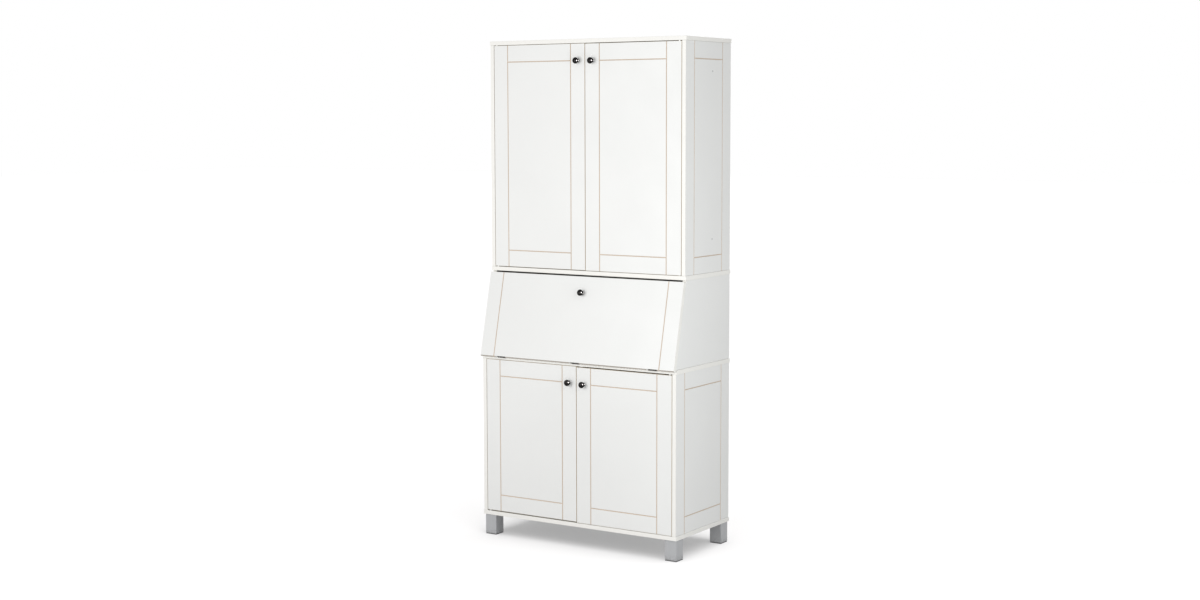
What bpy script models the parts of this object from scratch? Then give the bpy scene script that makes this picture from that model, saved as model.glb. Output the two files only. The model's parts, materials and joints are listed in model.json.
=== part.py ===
"""White drop-front secretary: a writing desk between a lower cupboard and an upper bookcase.

The lower cupboard stands on four square metal legs, and its top board is the desk surface. A
sloping flap closes the desk section. It drops forward on three hinges until it is level with
the desk surface, and two slotted stays hold it there. Cupboard and bookcase have two inset
doors each, which hang on pivot pins.

Metres. +X is to the right, +Y to the back and +Z up. The origin is on the floor, halfway
between the back edges and the fronts of the lower knobs.
"""
import itertools
import math

import bmesh
import bpy
from mathutils import Matrix

# Carcass
BOARD_WIDTH = 0.900  # top and bottom boards, end to end
BOARD_OVERHANG = 0.003  # boards past the side panels, at each end
BOARD = 0.016  # thickness of the coated boards
UPPER_DEPTH = 0.345
LOWER_DEPTH = 0.411
UPPER_HEIGHT = 0.908
DESK_HEIGHT = 0.332
LOWER_HEIGHT = 0.649
EDGE_ROUND = 0.0008
SEAT = 0.0003  # gap between two pieces that rest on each other

# Back panels and shelves
BACK_THICK = 0.004
BACK_INSET = 0.008  # from the rear edges of the boards
BACK_TONGUE = 0.006  # how far a back panel reaches into the sides
SHELF_SETBACK = 0.030  # shelf front behind the door fronts
SHELF_END_GAP = 0.0004
UPPER_SHELVES = 2
PEG_HOLE_RADIUS = 0.0025  # holes for the pegs that carry the shelves
PEG_HOLE_DEPTH = 0.009
PEG_HOLE_STEP = 0.032  # from one hole up to the next
PEG_HOLE_INSET = 0.045  # a row of holes in from the front and the back edge of the shelf
LETTER_BOARD = 0.012  # thickness of the letter shelf and its dividers
LETTER_HEIGHT = 0.186  # clear height below the letter shelf
LETTER_DEPTH = 0.200
DIVIDER_FROM_SIDE = 0.286  # middle of a divider to the side panel
DIVIDER_SETBACK = 0.012

# Routed grooves
GROOVE_MARGIN = 0.065  # groove centre to the edge of its panel
GROOVE_WIDTH = 0.004
GROOVE_DEPTH = 0.002
GROOVE_CROSSING = 0.0004  # level grooves past the middle of the upright ones

# Doors and their pivot pins
DOOR_SIDE_GAP = 0.002
DOOR_SEAM = 0.002  # between the two doors of a pair
UPPER_DOOR_GAP = 0.002  # above and below an upper door
LOWER_DOOR_GAP = 0.003
UPPER_DOOR_DROP = 0.0005  # the left door hangs this much high, the right one this much low
LOWER_DOOR_DROP = 0.0015
PIVOT_BACK = 0.006  # pivot axis behind the door face
SWING_CLEARANCE = 0.0004  # between the turning door edge and the side panel
PIN_RADIUS = 0.0025
PIN_PLAY = 0.0003
PIN_IN_DOOR = 0.020
PIN_IN_BOARD = 0.010
COLLAR_RADIUS = 0.005

# Knobs
KNOB_LENGTH = 0.024
KNOB_RADIUS = 0.0125
KNOB_WIDEST = 0.0155  # height of the widest ring above the foot
KNOB_UNDERSIDE = 0.0085  # height where the head runs into the neck
KNOB_NECK_RADIUS = 0.0050
KNOB_FOOT_RADIUS = 0.0080
KNOB_FOOT_THICK = 0.0025
KNOB_FROM_SEAM = 0.0325  # knob axis to the meeting edge of its door

# Flap
FLAP_TOP_PROUD = 0.0079  # flap face before the bookcase front, at the flap's top
FLAP_TOP_GAP = 0.005  # below the bookcase
FLAP_SEAT_GAP = 0.0005  # flap to the sloped edges it rests on
FLAP_TURN_GAP = 0.0004  # the flap's turning lower edge to the front of the desk surface
FLAP_KNOB_MARGIN = 0.065  # knob axis to the flap's top edge
FLAP_FOOT_BEVEL = 0.003  # along the lower edge of the flap's face

# Flap hinges
HINGE_DEPTH = 0.004  # hinge axis below the desk surface
HINGE_WIDTH = 0.036
HINGE_FROM_END = 0.097  # middle of an outer hinge to the end of the flap
LEAF_THICK = 0.002
LEAF_LENGTH = 0.030  # from the hinge axis
LEAF_PLAY = 0.0004
LEAF_HOLE_RADIUS = 0.0018  # two outer screw holes and a middle one
LEAF_HOLE_SPREAD = 0.011  # an outer hole from the middle of the leaf
LEAF_HOLE_NEAR = 0.0185  # an outer hole from the hinge axis
LEAF_HOLE_FAR = 0.0240  # the middle hole from the hinge axis
HINGE_WINDOW = 0.0045  # height of the notch in the flap's lower edge, in which a barrel shows
HINGE_WINDOW_SIDE = 0.005  # between a barrel and the sides of its notch
BARREL_INSET = 0.0002  # barrel below the outer face of its leaf
HINGE_PIN_RADIUS = 0.0016
HINGE_PIN_PLAY = 0.0003
KNUCKLE_GAP = 0.0003

# Flap stays
STAY_RADIUS = 0.140  # hinge axis to the pivot on the flap, and to the stud on the side
STAY_STANDOFF = 0.010  # pivot above the inner face of the flap
STAY_ANCHOR = math.radians(125.0)  # direction of the stud, up from straight ahead
STAY_WIDTH = 0.014
STAY_THICK = 0.0025
STAY_OFF_SIDE = 0.0046  # bar to the side panel
STAY_PLAY = 0.0004
STUD_RADIUS = 0.0028
STUD_HEAD_RADIUS = 0.0060
STUD_HEAD_THICK = 0.0015
STUD_FLANGE_RADIUS = 0.0080
BRACKET_PIN_RADIUS = 0.0025
BRACKET_HEAD_RADIUS = 0.0048
BRACKET_HEAD_THICK = 0.0015
BRACKET_LUG_THICK = 0.0025
BRACKET_LUG_RADIUS = 0.0070
BRACKET_BASE_WIDTH = 0.018
BRACKET_BASE_LENGTH = 0.030
BRACKET_BASE_THICK = 0.002
BRACKET_HOLE_RADIUS = 0.0018
BRACKET_HOLE_MARGIN = 0.0065  # screw hole to the inner edge of the base
BRACKET_HOLE_SPREAD = 0.0085  # screw hole above and below the middle of the base

# Magnetic catches
CATCH_LENGTH = 0.046
CATCH_FLANGE_LENGTH = 0.066
CATCH_FLANGE_THICK = 0.003
CATCH_HEIGHT = 0.014
CATCH_DEPTH = 0.014
CATCH_GAP = 0.002  # catch to the back of the closed doors

# Legs
LEG_HEIGHT = 0.082  # floor to the bottom board
LEG_SIDE = 0.052
LEG_WALL = 0.0025
LEG_TOP_PLATE = 0.004
LEG_ROUND = 0.003
LEG_SIDE_INSET = 0.0005
LEG_FRONT_INSET = 0.0075
LEG_BACK_INSET = 0.005
GLIDE_THICK = 0.0025
GLIDE_INSET = 0.001  # glide in from the faces of its leg
GLIDE_ROUND = 0.0008
GLIDE_PLUG = 0.014  # how far the glide reaches into its leg

# Facets
ROUND_SIDES = 22
SMALL_SIDES = 16
HOLE_SIDES = 8
ARC_STEPS = 8
KNOB_STEPS = 6
EDGE_SEGMENTS = 2
WELD = 1e-6
OVERCUT = 0.002  # cutters past the faces they cut
AXIS_DISPLAY = 0.05  # drawn size of the empties on the joint axes

# Colour, roughness and metallic value of each finish
FINISHES = {
    "white_board": ((0.84, 0.83, 0.80), 0.38, 0.0),
    "white_hardboard": ((0.80, 0.79, 0.76), 0.60, 0.0),
    "black_nickel": ((0.035, 0.033, 0.032), 0.16, 1.0),
    "satin_aluminium": ((0.55, 0.55, 0.56), 0.38, 1.0),
    "zinc_steel": ((0.52, 0.52, 0.53), 0.32, 1.0),
    "bronzed_steel": ((0.085, 0.078, 0.072), 0.42, 1.0),
    "dark_plastic": ((0.035, 0.035, 0.032), 0.55, 0.0),
    "white_plastic": ((0.78, 0.78, 0.76), 0.45, 0.0),
}

# Planes and levels of the carcass
SIDE_OUT = BOARD_WIDTH / 2 - BOARD_OVERHANG
SIDE_IN = SIDE_OUT - BOARD
BACK_Y = (LOWER_DEPTH + SEAT + KNOB_LENGTH) / 2
UPPER_FRONT = BACK_Y - UPPER_DEPTH
LOWER_FRONT = BACK_Y - LOWER_DEPTH
PANEL_FRONT = BACK_Y - BACK_INSET - BACK_THICK
CUPBOARD_BASE = LEG_HEIGHT
DESK_LEVEL = CUPBOARD_BASE + LOWER_HEIGHT
BOOKCASE_BASE = DESK_LEVEL + DESK_HEIGHT
TOP_LEVEL = BOOKCASE_BASE + UPPER_HEIGHT

# The pivot sits so far in that the door edge turns past the side panel with its clearance
PIVOT_IN = (DOOR_SIDE_GAP ** 2 + PIVOT_BACK ** 2 - SWING_CLEARANCE ** 2) / (
    2 * (DOOR_SIDE_GAP - SWING_CLEARANCE))

# The flap leans so that it clears the desk board's front corner and ends before the bookcase
FLAP_TOP_REACH = FLAP_TOP_PROUD - (LOWER_DEPTH - UPPER_DEPTH)
FLAP_LEAN = (math.asin((BOARD + FLAP_SEAT_GAP) / math.hypot(DESK_HEIGHT, FLAP_TOP_REACH))
             - math.atan2(FLAP_TOP_REACH, DESK_HEIGHT))
FLAP_OPEN = math.pi / 2 + FLAP_LEAN
HINGE_FORWARD = (FLAP_SEAT_GAP + HINGE_DEPTH * (1 + math.sin(FLAP_LEAN))) / math.cos(FLAP_LEAN)
HINGE_Y = LOWER_FRONT - HINGE_FORWARD
HINGE_Z = DESK_LEVEL - HINGE_DEPTH

# The flap's lower inner edge turns past the front of the desk board with its clearance
FLAP_BELOW_AXIS = math.sqrt((HINGE_FORWARD - FLAP_TURN_GAP) ** 2 - HINGE_DEPTH ** 2)
FLAP_ABOVE_AXIS = (DESK_HEIGHT - FLAP_TOP_GAP + HINGE_DEPTH
                   - (BOARD - HINGE_DEPTH) * math.sin(FLAP_LEAN)) / math.cos(FLAP_LEAN)

# A leaf starts this far from the axis, except at its own knuckles, to pass the other leaf
LEAF_START = HINGE_DEPTH * (1 + math.sin(FLAP_LEAN)) / math.cos(FLAP_LEAN) + LEAF_PLAY
BARREL_RADIUS = HINGE_DEPTH - BARREL_INSET

# Hinge axis, flap pivot and stud form a triangle with two equal sides, so that a stay turns
# half as far as the flap
STAY_PIVOT_Y = HINGE_DEPTH + STAY_STANDOFF
STAY_PIVOT_Z = math.sqrt(STAY_RADIUS ** 2 - STAY_PIVOT_Y ** 2)
STAY_CLOSED = math.pi / 2 + FLAP_LEAN + math.atan2(STAY_PIVOT_Y, STAY_PIVOT_Z)
STUD_Y = HINGE_Y - STAY_RADIUS * math.cos(STAY_ANCHOR)
STUD_Z = HINGE_Z + STAY_RADIUS * math.sin(STAY_ANCHOR)
STUD_NEAR = 2 * STAY_RADIUS * math.sin((STAY_ANCHOR - STAY_CLOSED) / 2)
STUD_FAR = 2 * STAY_RADIUS * math.sin((STAY_ANCHOR - STAY_CLOSED + FLAP_OPEN) / 2)
STAY_IN_FLAP = math.pi / 2 - (STAY_CLOSED + STAY_ANCHOR) / 2 + FLAP_LEAN

LEFT, RIGHT = -1, 1
SIDE_NAMES = {LEFT: "left", RIGHT: "right"}
FACE_FORWARD = (math.pi / 2, 0.0, 0.0)
FACE_DOWN = (math.pi, 0.0, 0.0)
LIE_ACROSS = (0.0, math.pi / 2, 0.0)


def clear_scene():
    """Remove every object, so that the model starts from nothing."""
    for item in list(bpy.data.objects):
        bpy.data.objects.remove(item, do_unlink=True)


def new_collection(name):
    """Collection below the scene's own."""
    collection = bpy.data.collections.new(name)
    bpy.context.scene.collection.children.link(collection)
    return collection


clear_scene()
PARTS = new_collection("drop_front_secretary")
TOOLS = new_collection("cutters")


def finish_material(name, finish):
    """Principled material of one piece in one of the finishes."""
    colour, roughness, metallic = FINISHES[finish]
    material = bpy.data.materials.new(f"{name}_{finish}")
    material.use_nodes = True
    shader = material.node_tree.nodes["Principled BSDF"]
    shader.inputs["Base Color"].default_value = (*colour, 1.0)
    shader.inputs["Roughness"].default_value = roughness
    shader.inputs["Metallic"].default_value = metallic
    return material


def mesh_from(name, shape):
    """Mesh of a finished bmesh."""
    mesh = bpy.data.meshes.new(name)
    shape.to_mesh(mesh)
    shape.free()
    return mesh


def box_mesh(name, size):
    """Box about the origin."""
    shape = bmesh.new()
    bmesh.ops.create_cube(shape, size=1.0)
    bmesh.ops.scale(shape, vec=size, verts=shape.verts)
    return mesh_from(name, shape)


def rod_mesh(name, radius, length, sides=SMALL_SIDES):
    """Cylinder about the origin, along Z."""
    shape = bmesh.new()
    bmesh.ops.create_cone(shape, cap_ends=True, segments=sides, radius1=radius, radius2=radius, depth=length)
    return mesh_from(name, shape)


def diamond_mesh(name, size, along):
    """Bar of diamond section about the origin: its length along one axis, half diagonals on the others."""
    shape = bmesh.new()
    bmesh.ops.create_cube(shape, size=math.sqrt(2))
    bmesh.ops.rotate(shape, matrix=Matrix.Rotation(math.pi / 4, 3, "XYZ"[along]), verts=shape.verts)
    factors = list(size)
    factors[along] = size[along] / math.sqrt(2)
    bmesh.ops.scale(shape, vec=factors, verts=shape.verts)
    return mesh_from(name, shape)


def outline_mesh(name, loops, thickness):
    """Flat piece in the XY plane from closed loops of points. Loops inside the first are holes."""
    curve = bpy.data.curves.new(name, "CURVE")
    curve.dimensions = "2D"
    curve.fill_mode = "BOTH"
    curve.extrude = thickness / 2
    for points in loops:
        spline = curve.splines.new("POLY")
        spline.points.add(len(points) - 1)
        for point, (x, y) in zip(spline.points, points):
            point.co = (x, y, 0.0, 1.0)
        spline.use_cyclic_u = True
    holder = bpy.data.objects.new(name, curve)
    PARTS.objects.link(holder)
    evaluated = holder.evaluated_get(bpy.context.evaluated_depsgraph_get())
    flat = bpy.data.meshes.new_from_object(evaluated)
    bpy.data.objects.remove(holder)
    bpy.data.curves.remove(curve)
    shape = bmesh.new()
    shape.from_mesh(flat)
    bpy.data.meshes.remove(flat)
    bmesh.ops.remove_doubles(shape, verts=shape.verts, dist=WELD)
    bmesh.ops.recalc_face_normals(shape, faces=shape.faces)
    return mesh_from(name, shape)


def stadium(start, end, radius):
    """Points of a slot along X, round about its two end centres."""
    points = []
    for centre, first in ((end, -math.pi / 2), (start, math.pi / 2)):
        for step in range(ARC_STEPS + 1):
            angle = first + math.pi * step / ARC_STEPS
            points.append((centre + radius * math.cos(angle), radius * math.sin(angle)))
    return points


def circle(radius):
    """Points of a circle about the origin."""
    turn = 2 * math.pi / SMALL_SIDES
    return [(radius * math.cos(turn * step), radius * math.sin(turn * step)) for step in range(SMALL_SIDES)]


def standing(angle=0.0):
    """Rotation that stands a flat outline in the YZ plane, its X axis raised from +Y by the angle."""
    cosine, sine = math.cos(angle), math.sin(angle)
    return Matrix(((0, 0, 1), (cosine, -sine, 0), (sine, cosine, 0))).to_euler()


def add_piece(name, mesh, finish, location=(0, 0, 0), rotation=(0, 0, 0), parent=None):
    """Object of one sub-part, placed in its parent's frame."""
    piece = bpy.data.objects.new(name, mesh)
    piece.location = location
    piece.rotation_euler = rotation
    piece.parent = parent
    mesh.materials.append(finish_material(name, finish))
    PARTS.objects.link(piece)
    return piece


def add_axis(name, location, rotation=(0, 0, 0), parent=None):
    """Empty on the axis of a joint, which carries the pieces that move on it."""
    axis = bpy.data.objects.new(name, None)
    axis.location = location
    axis.rotation_euler = rotation
    axis.parent = parent
    axis.empty_display_size = AXIS_DISPLAY
    PARTS.objects.link(axis)
    return axis


def shape_with(piece, mesh, operation, location, rotation=(0, 0, 0), parent=None):
    """Cut a tool's shape from a piece, or join it to the piece."""
    tool = bpy.data.objects.new(mesh.name, mesh)
    tool.location = location
    tool.rotation_euler = rotation
    tool.parent = parent
    tool.hide_render = True
    tool.display_type = "WIRE"
    TOOLS.objects.link(tool)
    boolean = piece.modifiers.new(operation.lower(), "BOOLEAN")
    boolean.operation = operation
    boolean.solver = "EXACT"
    boolean.object = tool


def centre_and_size(low, high):
    """Middle and extent of the box between two corners."""
    centre = [(a + b) / 2 for a, b in zip(low, high)]
    size = [b - a for a, b in zip(low, high)]
    return centre, size


def soften(piece, width):
    """Round the edges of a piece."""
    bevel = piece.modifiers.new("edges", "BEVEL")
    bevel.width = width
    bevel.segments = EDGE_SEGMENTS
    bevel.limit_method = "ANGLE"
    bevel.use_clamp_overlap = True


def add_board(name, low, high, finish="white_board", parent=None, edge=EDGE_ROUND):
    """Board between two corners, with softened edges."""
    centre, size = centre_and_size(low, high)
    board = add_piece(name, box_mesh(name, size), finish, centre, parent=parent)
    soften(board, edge)
    return board


def cut_box(piece, low, high, parent=None):
    """Cut the box between two corners from a piece."""
    centre, size = centre_and_size(low, high)
    shape_with(piece, box_mesh(piece.name + "_cut", size), "DIFFERENCE", centre, parent=parent)


def join_box(piece, low, high, parent=None):
    """Join the box between two corners to a piece."""
    centre, size = centre_and_size(low, high)
    shape_with(piece, box_mesh(piece.name + "_joined", size), "UNION", centre, parent=parent)


def add_turned(name, profile, finish, location, rotation=(0, 0, 0), parent=None, sides=ROUND_SIDES):
    """Turned piece about its Z axis: the profile runs from the top down its outer side."""
    mesh = bpy.data.meshes.new(name)
    edges = [(step, step + 1) for step in range(len(profile) - 1)]
    mesh.from_pydata([(radius, 0.0, height) for radius, height in profile], edges, [])
    piece = add_piece(name, mesh, finish, location, rotation, parent)
    screw = piece.modifiers.new("turning", "SCREW")
    screw.axis = "Z"
    screw.angle = 2 * math.pi
    screw.steps = sides
    screw.render_steps = sides
    screw.use_merge_vertices = True
    screw.merge_threshold = WELD
    screw.use_smooth_shade = True
    return piece


def cut_groove(panel, centre, length, along, across, parent=None):
    """Cut a V-shaped groove with a bar twice its size, whose centre lies GROOVE_DEPTH outside the face."""
    size = [2 * GROOVE_DEPTH] * 3
    size[along] = length
    size[across] = GROOVE_WIDTH
    mesh = diamond_mesh(panel.name + "_groove", size, along)
    shape_with(panel, mesh, "DIFFERENCE", centre, parent=parent)


def cut_frame_grooves(panel, low, high, across, face, outwards, parent=None):
    """Two upright grooves over the full height of a panel, and two level ones between them.

    across is the panel's level axis, 0 or 1. face is the place of its face on the other one, and
    outwards the sign of the way out of it.
    """
    start, end = low[across] + GROOVE_MARGIN, high[across] - GROOVE_MARGIN
    centre = [0.0, 0.0, (low[2] + high[2]) / 2]
    centre[1 - across] = face + outwards * GROOVE_DEPTH
    for place in (start, end):
        centre[across] = place
        cut_groove(panel, list(centre), high[2] - low[2] + 2 * OVERCUT, 2, across, parent)
    centre[across] = (start + end) / 2
    for level in (low[2] + GROOVE_MARGIN, high[2] - GROOVE_MARGIN):
        centre[2] = level
        cut_groove(panel, list(centre), end - start + 2 * GROOVE_CROSSING, across, 2, parent)


def cut_back_groove(panel, side, bottom, top):
    """Groove in the inner face of a side panel, in which the back panel slides."""
    reach = BACK_TONGUE + SEAT
    ends = sorted((side * (SIDE_IN - OVERCUT), side * (SIDE_IN + reach)))
    low = (ends[0], PANEL_FRONT - SEAT, bottom - OVERCUT)
    high = (ends[1], PANEL_FRONT + BACK_THICK + SEAT, top + OVERCUT)
    cut_box(panel, low, high)


def side_span(side, inner, outer):
    """Lower and upper X of a stretch that is given for the right side."""
    return sorted((side * inner, side * outer))


def add_back(name, bottom, top):
    """Thin back panel between the grooves of two sides."""
    reach = SIDE_IN + BACK_TONGUE
    low = (-reach, PANEL_FRONT, bottom + SEAT)
    high = (reach, PANEL_FRONT + BACK_THICK, top - SEAT)
    centre, size = centre_and_size(low, high)
    add_piece(name, box_mesh(name, size), "white_hardboard", centre)


def add_shelf(name, front, level):
    """Loose shelf between two sides, with its underside at the level."""
    end = SIDE_IN - SHELF_END_GAP
    add_board(name, (-end, front + SHELF_SETBACK, level), (end, PANEL_FRONT - SEAT, level + BOARD))


def bore_peg_holes(panel, side, front, shelf_levels):
    """Two rows of blind holes in a side panel: at the underside of each shelf, one step up and one down."""
    x = side * (SIDE_IN + (PEG_HOLE_DEPTH - OVERCUT) / 2)
    rows = (front + SHELF_SETBACK + PEG_HOLE_INSET, PANEL_FRONT - SEAT - PEG_HOLE_INSET)
    shape = bmesh.new()
    for y, level, step in itertools.product(rows, shelf_levels, (-1, 0, 1)):
        middle = Matrix.Translation((x, y, level - PEG_HOLE_RADIUS + step * PEG_HOLE_STEP))
        bmesh.ops.create_cone(shape, cap_ends=True, segments=HOLE_SIDES, radius1=PEG_HOLE_RADIUS,
                              radius2=PEG_HOLE_RADIUS, depth=PEG_HOLE_DEPTH + OVERCUT,
                              matrix=middle @ Matrix.Rotation(math.pi / 2, 4, "Y"))
    shape_with(panel, mesh_from(panel.name + "_peg_holes", shape), "DIFFERENCE", (0, 0, 0))


def add_carcass(unit, front, base, top, shelf_levels):
    """Top, bottom, sides and back of the cupboard or the bookcase. Returns top and bottom boards."""
    half = BOARD_WIDTH / 2
    bottom_board = add_board(f"{unit}_bottom_board", (-half, front, base), (half, BACK_Y, base + BOARD))
    top_board = add_board(f"{unit}_top_board", (-half, front, top - BOARD), (half, BACK_Y, top))
    low_end, high_end = base + BOARD + SEAT, top - BOARD - SEAT
    for side, side_name in SIDE_NAMES.items():
        near, far = side_span(side, SIDE_IN, SIDE_OUT)
        low, high = (near, front, low_end), (far, BACK_Y, high_end)
        panel = add_board(f"{unit}_{side_name}_side", low, high)
        cut_frame_grooves(panel, low, high, 1, side * SIDE_OUT, side)
        cut_back_groove(panel, side, low_end, high_end)
        bore_peg_holes(panel, side, front, shelf_levels)
    add_back(f"{unit}_back_panel", base + BOARD, top - BOARD)
    return top_board, bottom_board


def add_pivot_pin(name, axis, board, end, gap, up):
    """Collared pin between a door end and its board. up is 1 above the door and -1 below it."""
    profile = [
        (0.0, gap + PIN_IN_BOARD),
        (PIN_RADIUS, gap + PIN_IN_BOARD),
        (PIN_RADIUS, gap - SEAT),
        (COLLAR_RADIUS, gap - SEAT),
        (COLLAR_RADIUS, SEAT),
        (PIN_RADIUS, SEAT),
        (PIN_RADIUS, -PIN_IN_DOOR),
        (0.0, -PIN_IN_DOOR),
    ]
    place = (axis[0], axis[1], end)
    rotation = (0, 0, 0) if up > 0 else FACE_DOWN
    add_turned(name, profile, "zinc_steel", place, rotation, sides=SMALL_SIDES)
    depth = PIN_IN_BOARD + SEAT + OVERCUT
    bore = rod_mesh(board.name + "_bore", PIN_RADIUS + SEAT, depth)
    middle = end + up * (gap - OVERCUT + depth / 2)
    shape_with(board, bore, "DIFFERENCE", (axis[0], axis[1], middle))


def knob_profile():
    """Profile of a round knob on its neck and foot, from the top of its dome down."""
    profile = []
    for step in range(KNOB_STEPS + 1):
        angle = math.pi / 2 * step / KNOB_STEPS
        rise = (KNOB_LENGTH - KNOB_WIDEST) * math.cos(angle)
        profile.append((KNOB_RADIUS * math.sin(angle), KNOB_WIDEST + rise))
    for step in range(1, KNOB_STEPS + 1):
        angle = math.pi / 2 * step / KNOB_STEPS
        radius = KNOB_NECK_RADIUS + (KNOB_RADIUS - KNOB_NECK_RADIUS) * math.cos(angle)
        profile.append((radius, KNOB_WIDEST - (KNOB_WIDEST - KNOB_UNDERSIDE) * math.sin(angle)))
    profile.append((KNOB_NECK_RADIUS, KNOB_FOOT_THICK))
    profile.append((KNOB_FOOT_RADIUS, KNOB_FOOT_THICK))
    profile.append((KNOB_FOOT_RADIUS, 0.0))
    profile.append((0.0, 0.0))
    return profile


def add_knob(name, place, parent):
    """Round knob that stands out to the front of a door or the flap."""
    add_turned(name, knob_profile(), "black_nickel", place, FACE_FORWARD, parent)


def add_door(unit, side, front, base, top, gap, drop, boards):
    """Inset door with its grooves, knob and two pivot pins."""
    name = f"{unit}_{SIDE_NAMES[side]}"
    top_board, bottom_board = boards
    raised = -side * drop
    bottom_end = base + BOARD + gap + raised
    top_end = top - BOARD - gap + raised
    axis_x = side * (SIDE_IN - PIVOT_IN)
    axis = add_axis(f"{name}_door_axis", (axis_x, front + PIVOT_BACK, 0.0))
    near, far = side_span(side, DOOR_SEAM / 2, SIDE_IN - DOOR_SIDE_GAP)
    low = (near - axis_x, -PIVOT_BACK, bottom_end)
    high = (far - axis_x, BOARD - PIVOT_BACK, top_end)
    door = add_board(f"{name}_door", low, high, parent=axis)
    cut_frame_grooves(door, low, high, 0, -PIVOT_BACK, -1, axis)
    depth = PIN_IN_DOOR + SEAT
    for end, up in ((bottom_end, -1), (top_end, 1)):
        bore = rod_mesh(f"{name}_door_bore", PIN_RADIUS + PIN_PLAY, depth + OVERCUT)
        middle = end - up * (depth - OVERCUT) / 2
        shape_with(door, bore, "DIFFERENCE", (0, 0, middle), parent=axis)
    place = (axis_x, front + PIVOT_BACK)
    add_pivot_pin(f"{name}_top_pivot_pin", place, top_board, top_end, gap - raised, 1)
    add_pivot_pin(f"{name}_bottom_pivot_pin", place, bottom_board, bottom_end, gap + raised, -1)
    knob_x = side * (DOOR_SEAM / 2 + KNOB_FROM_SEAM) - axis_x
    add_knob(f"{name}_door_knob", (knob_x, -PIVOT_BACK - SEAT, top_end - GROOVE_MARGIN), axis)


def add_catch(name, front, level):
    """Double magnetic catch below a top board, behind the meeting edges of a pair of doors."""
    half, flange = CATCH_LENGTH / 2, CATCH_FLANGE_LENGTH / 2
    outline = [
        (-flange, 0.0),
        (-flange, -CATCH_FLANGE_THICK),
        (-half, -CATCH_FLANGE_THICK),
        (-half, -CATCH_HEIGHT),
        (half, -CATCH_HEIGHT),
        (half, -CATCH_FLANGE_THICK),
        (flange, -CATCH_FLANGE_THICK),
        (flange, 0.0),
    ]
    place = (0, front + BOARD + CATCH_GAP + CATCH_DEPTH / 2, level - SEAT)
    add_piece(name, outline_mesh(name, [outline], CATCH_DEPTH), "white_plastic", place, FACE_FORWARD)


def add_legs():
    """Four square tubes under the cupboard, each closed by a glide that plugs into it."""
    middle = SIDE_OUT - LEG_SIDE_INSET - LEG_SIDE / 2
    front = LOWER_FRONT + LEG_FRONT_INSET + LEG_SIDE / 2
    back = BACK_Y - LEG_BACK_INSET - LEG_SIDE / 2
    for side, side_name in SIDE_NAMES.items():
        add_leg(f"front_{side_name}", side * middle, front)
        add_leg(f"back_{side_name}", side * middle, back)


def square(x, y, half, bottom, top):
    """Corners of an upright square bar."""
    return (x - half, y - half, bottom), (x + half, y + half, top)


def add_leg(name, x, y):
    """One leg tube, open below, with its glide."""
    tube = LEG_SIDE / 2
    bore = tube - LEG_WALL
    leg_top = CUPBOARD_BASE - SEAT
    leg = add_board(f"{name}_leg", *square(x, y, tube, GLIDE_THICK + SEAT, leg_top), "satin_aluminium",
                    edge=LEG_ROUND)
    cut_box(leg, *square(x, y, bore, GLIDE_THICK - OVERCUT, leg_top - LEG_TOP_PLATE))
    glide = add_board(f"{name}_glide", *square(x, y, tube - GLIDE_INSET, 0.0, GLIDE_THICK), "dark_plastic",
                      edge=GLIDE_ROUND)
    join_box(glide, *square(x, y, bore - SEAT, GLIDE_THICK / 2, GLIDE_THICK + GLIDE_PLUG))


def flap_rest_y(level):
    """Y of the sloped edge that the flap rests on, at a level."""
    behind = HINGE_DEPTH + FLAP_SEAT_GAP
    return HINGE_Y + (behind + (level - HINGE_Z) * math.sin(FLAP_LEAN)) / math.cos(FLAP_LEAN)


def add_desk_sides():
    """Sloped sides between the desk surface and the bookcase, and the back between them."""
    bottom, top = DESK_LEVEL + SEAT, BOOKCASE_BASE - SEAT
    outline = [
        (flap_rest_y(bottom), bottom),
        (BACK_Y, bottom),
        (BACK_Y, top),
        (flap_rest_y(top), top),
    ]
    for side, side_name in SIDE_NAMES.items():
        name = f"desk_{side_name}_side"
        middle = (side * (SIDE_IN + BOARD / 2), 0, 0)
        panel = add_piece(name, outline_mesh(name, [outline], BOARD), "white_board", middle, standing())
        soften(panel, EDGE_ROUND)
        cut_back_groove(panel, side, bottom, top)
    add_back("desk_back_panel", DESK_LEVEL, BOOKCASE_BASE)


def add_letter_rack():
    """Letter shelf across the back of the desk section, with two dividers below it."""
    front, back = PANEL_FRONT - SEAT - LETTER_DEPTH, PANEL_FRONT - SEAT
    level = DESK_LEVEL + LETTER_HEIGHT
    end = SIDE_IN - SHELF_END_GAP
    add_board("letter_shelf", (-end, front, level), (end, back, level + LETTER_BOARD))
    for side, side_name in SIDE_NAMES.items():
        x = side * (SIDE_IN - DIVIDER_FROM_SIDE)
        low = (x - LETTER_BOARD / 2, front + DIVIDER_SETBACK, DESK_LEVEL + SEAT)
        high = (x + LETTER_BOARD / 2, back, level - SEAT)
        add_board(f"letter_{side_name}_divider", low, high)


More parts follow.
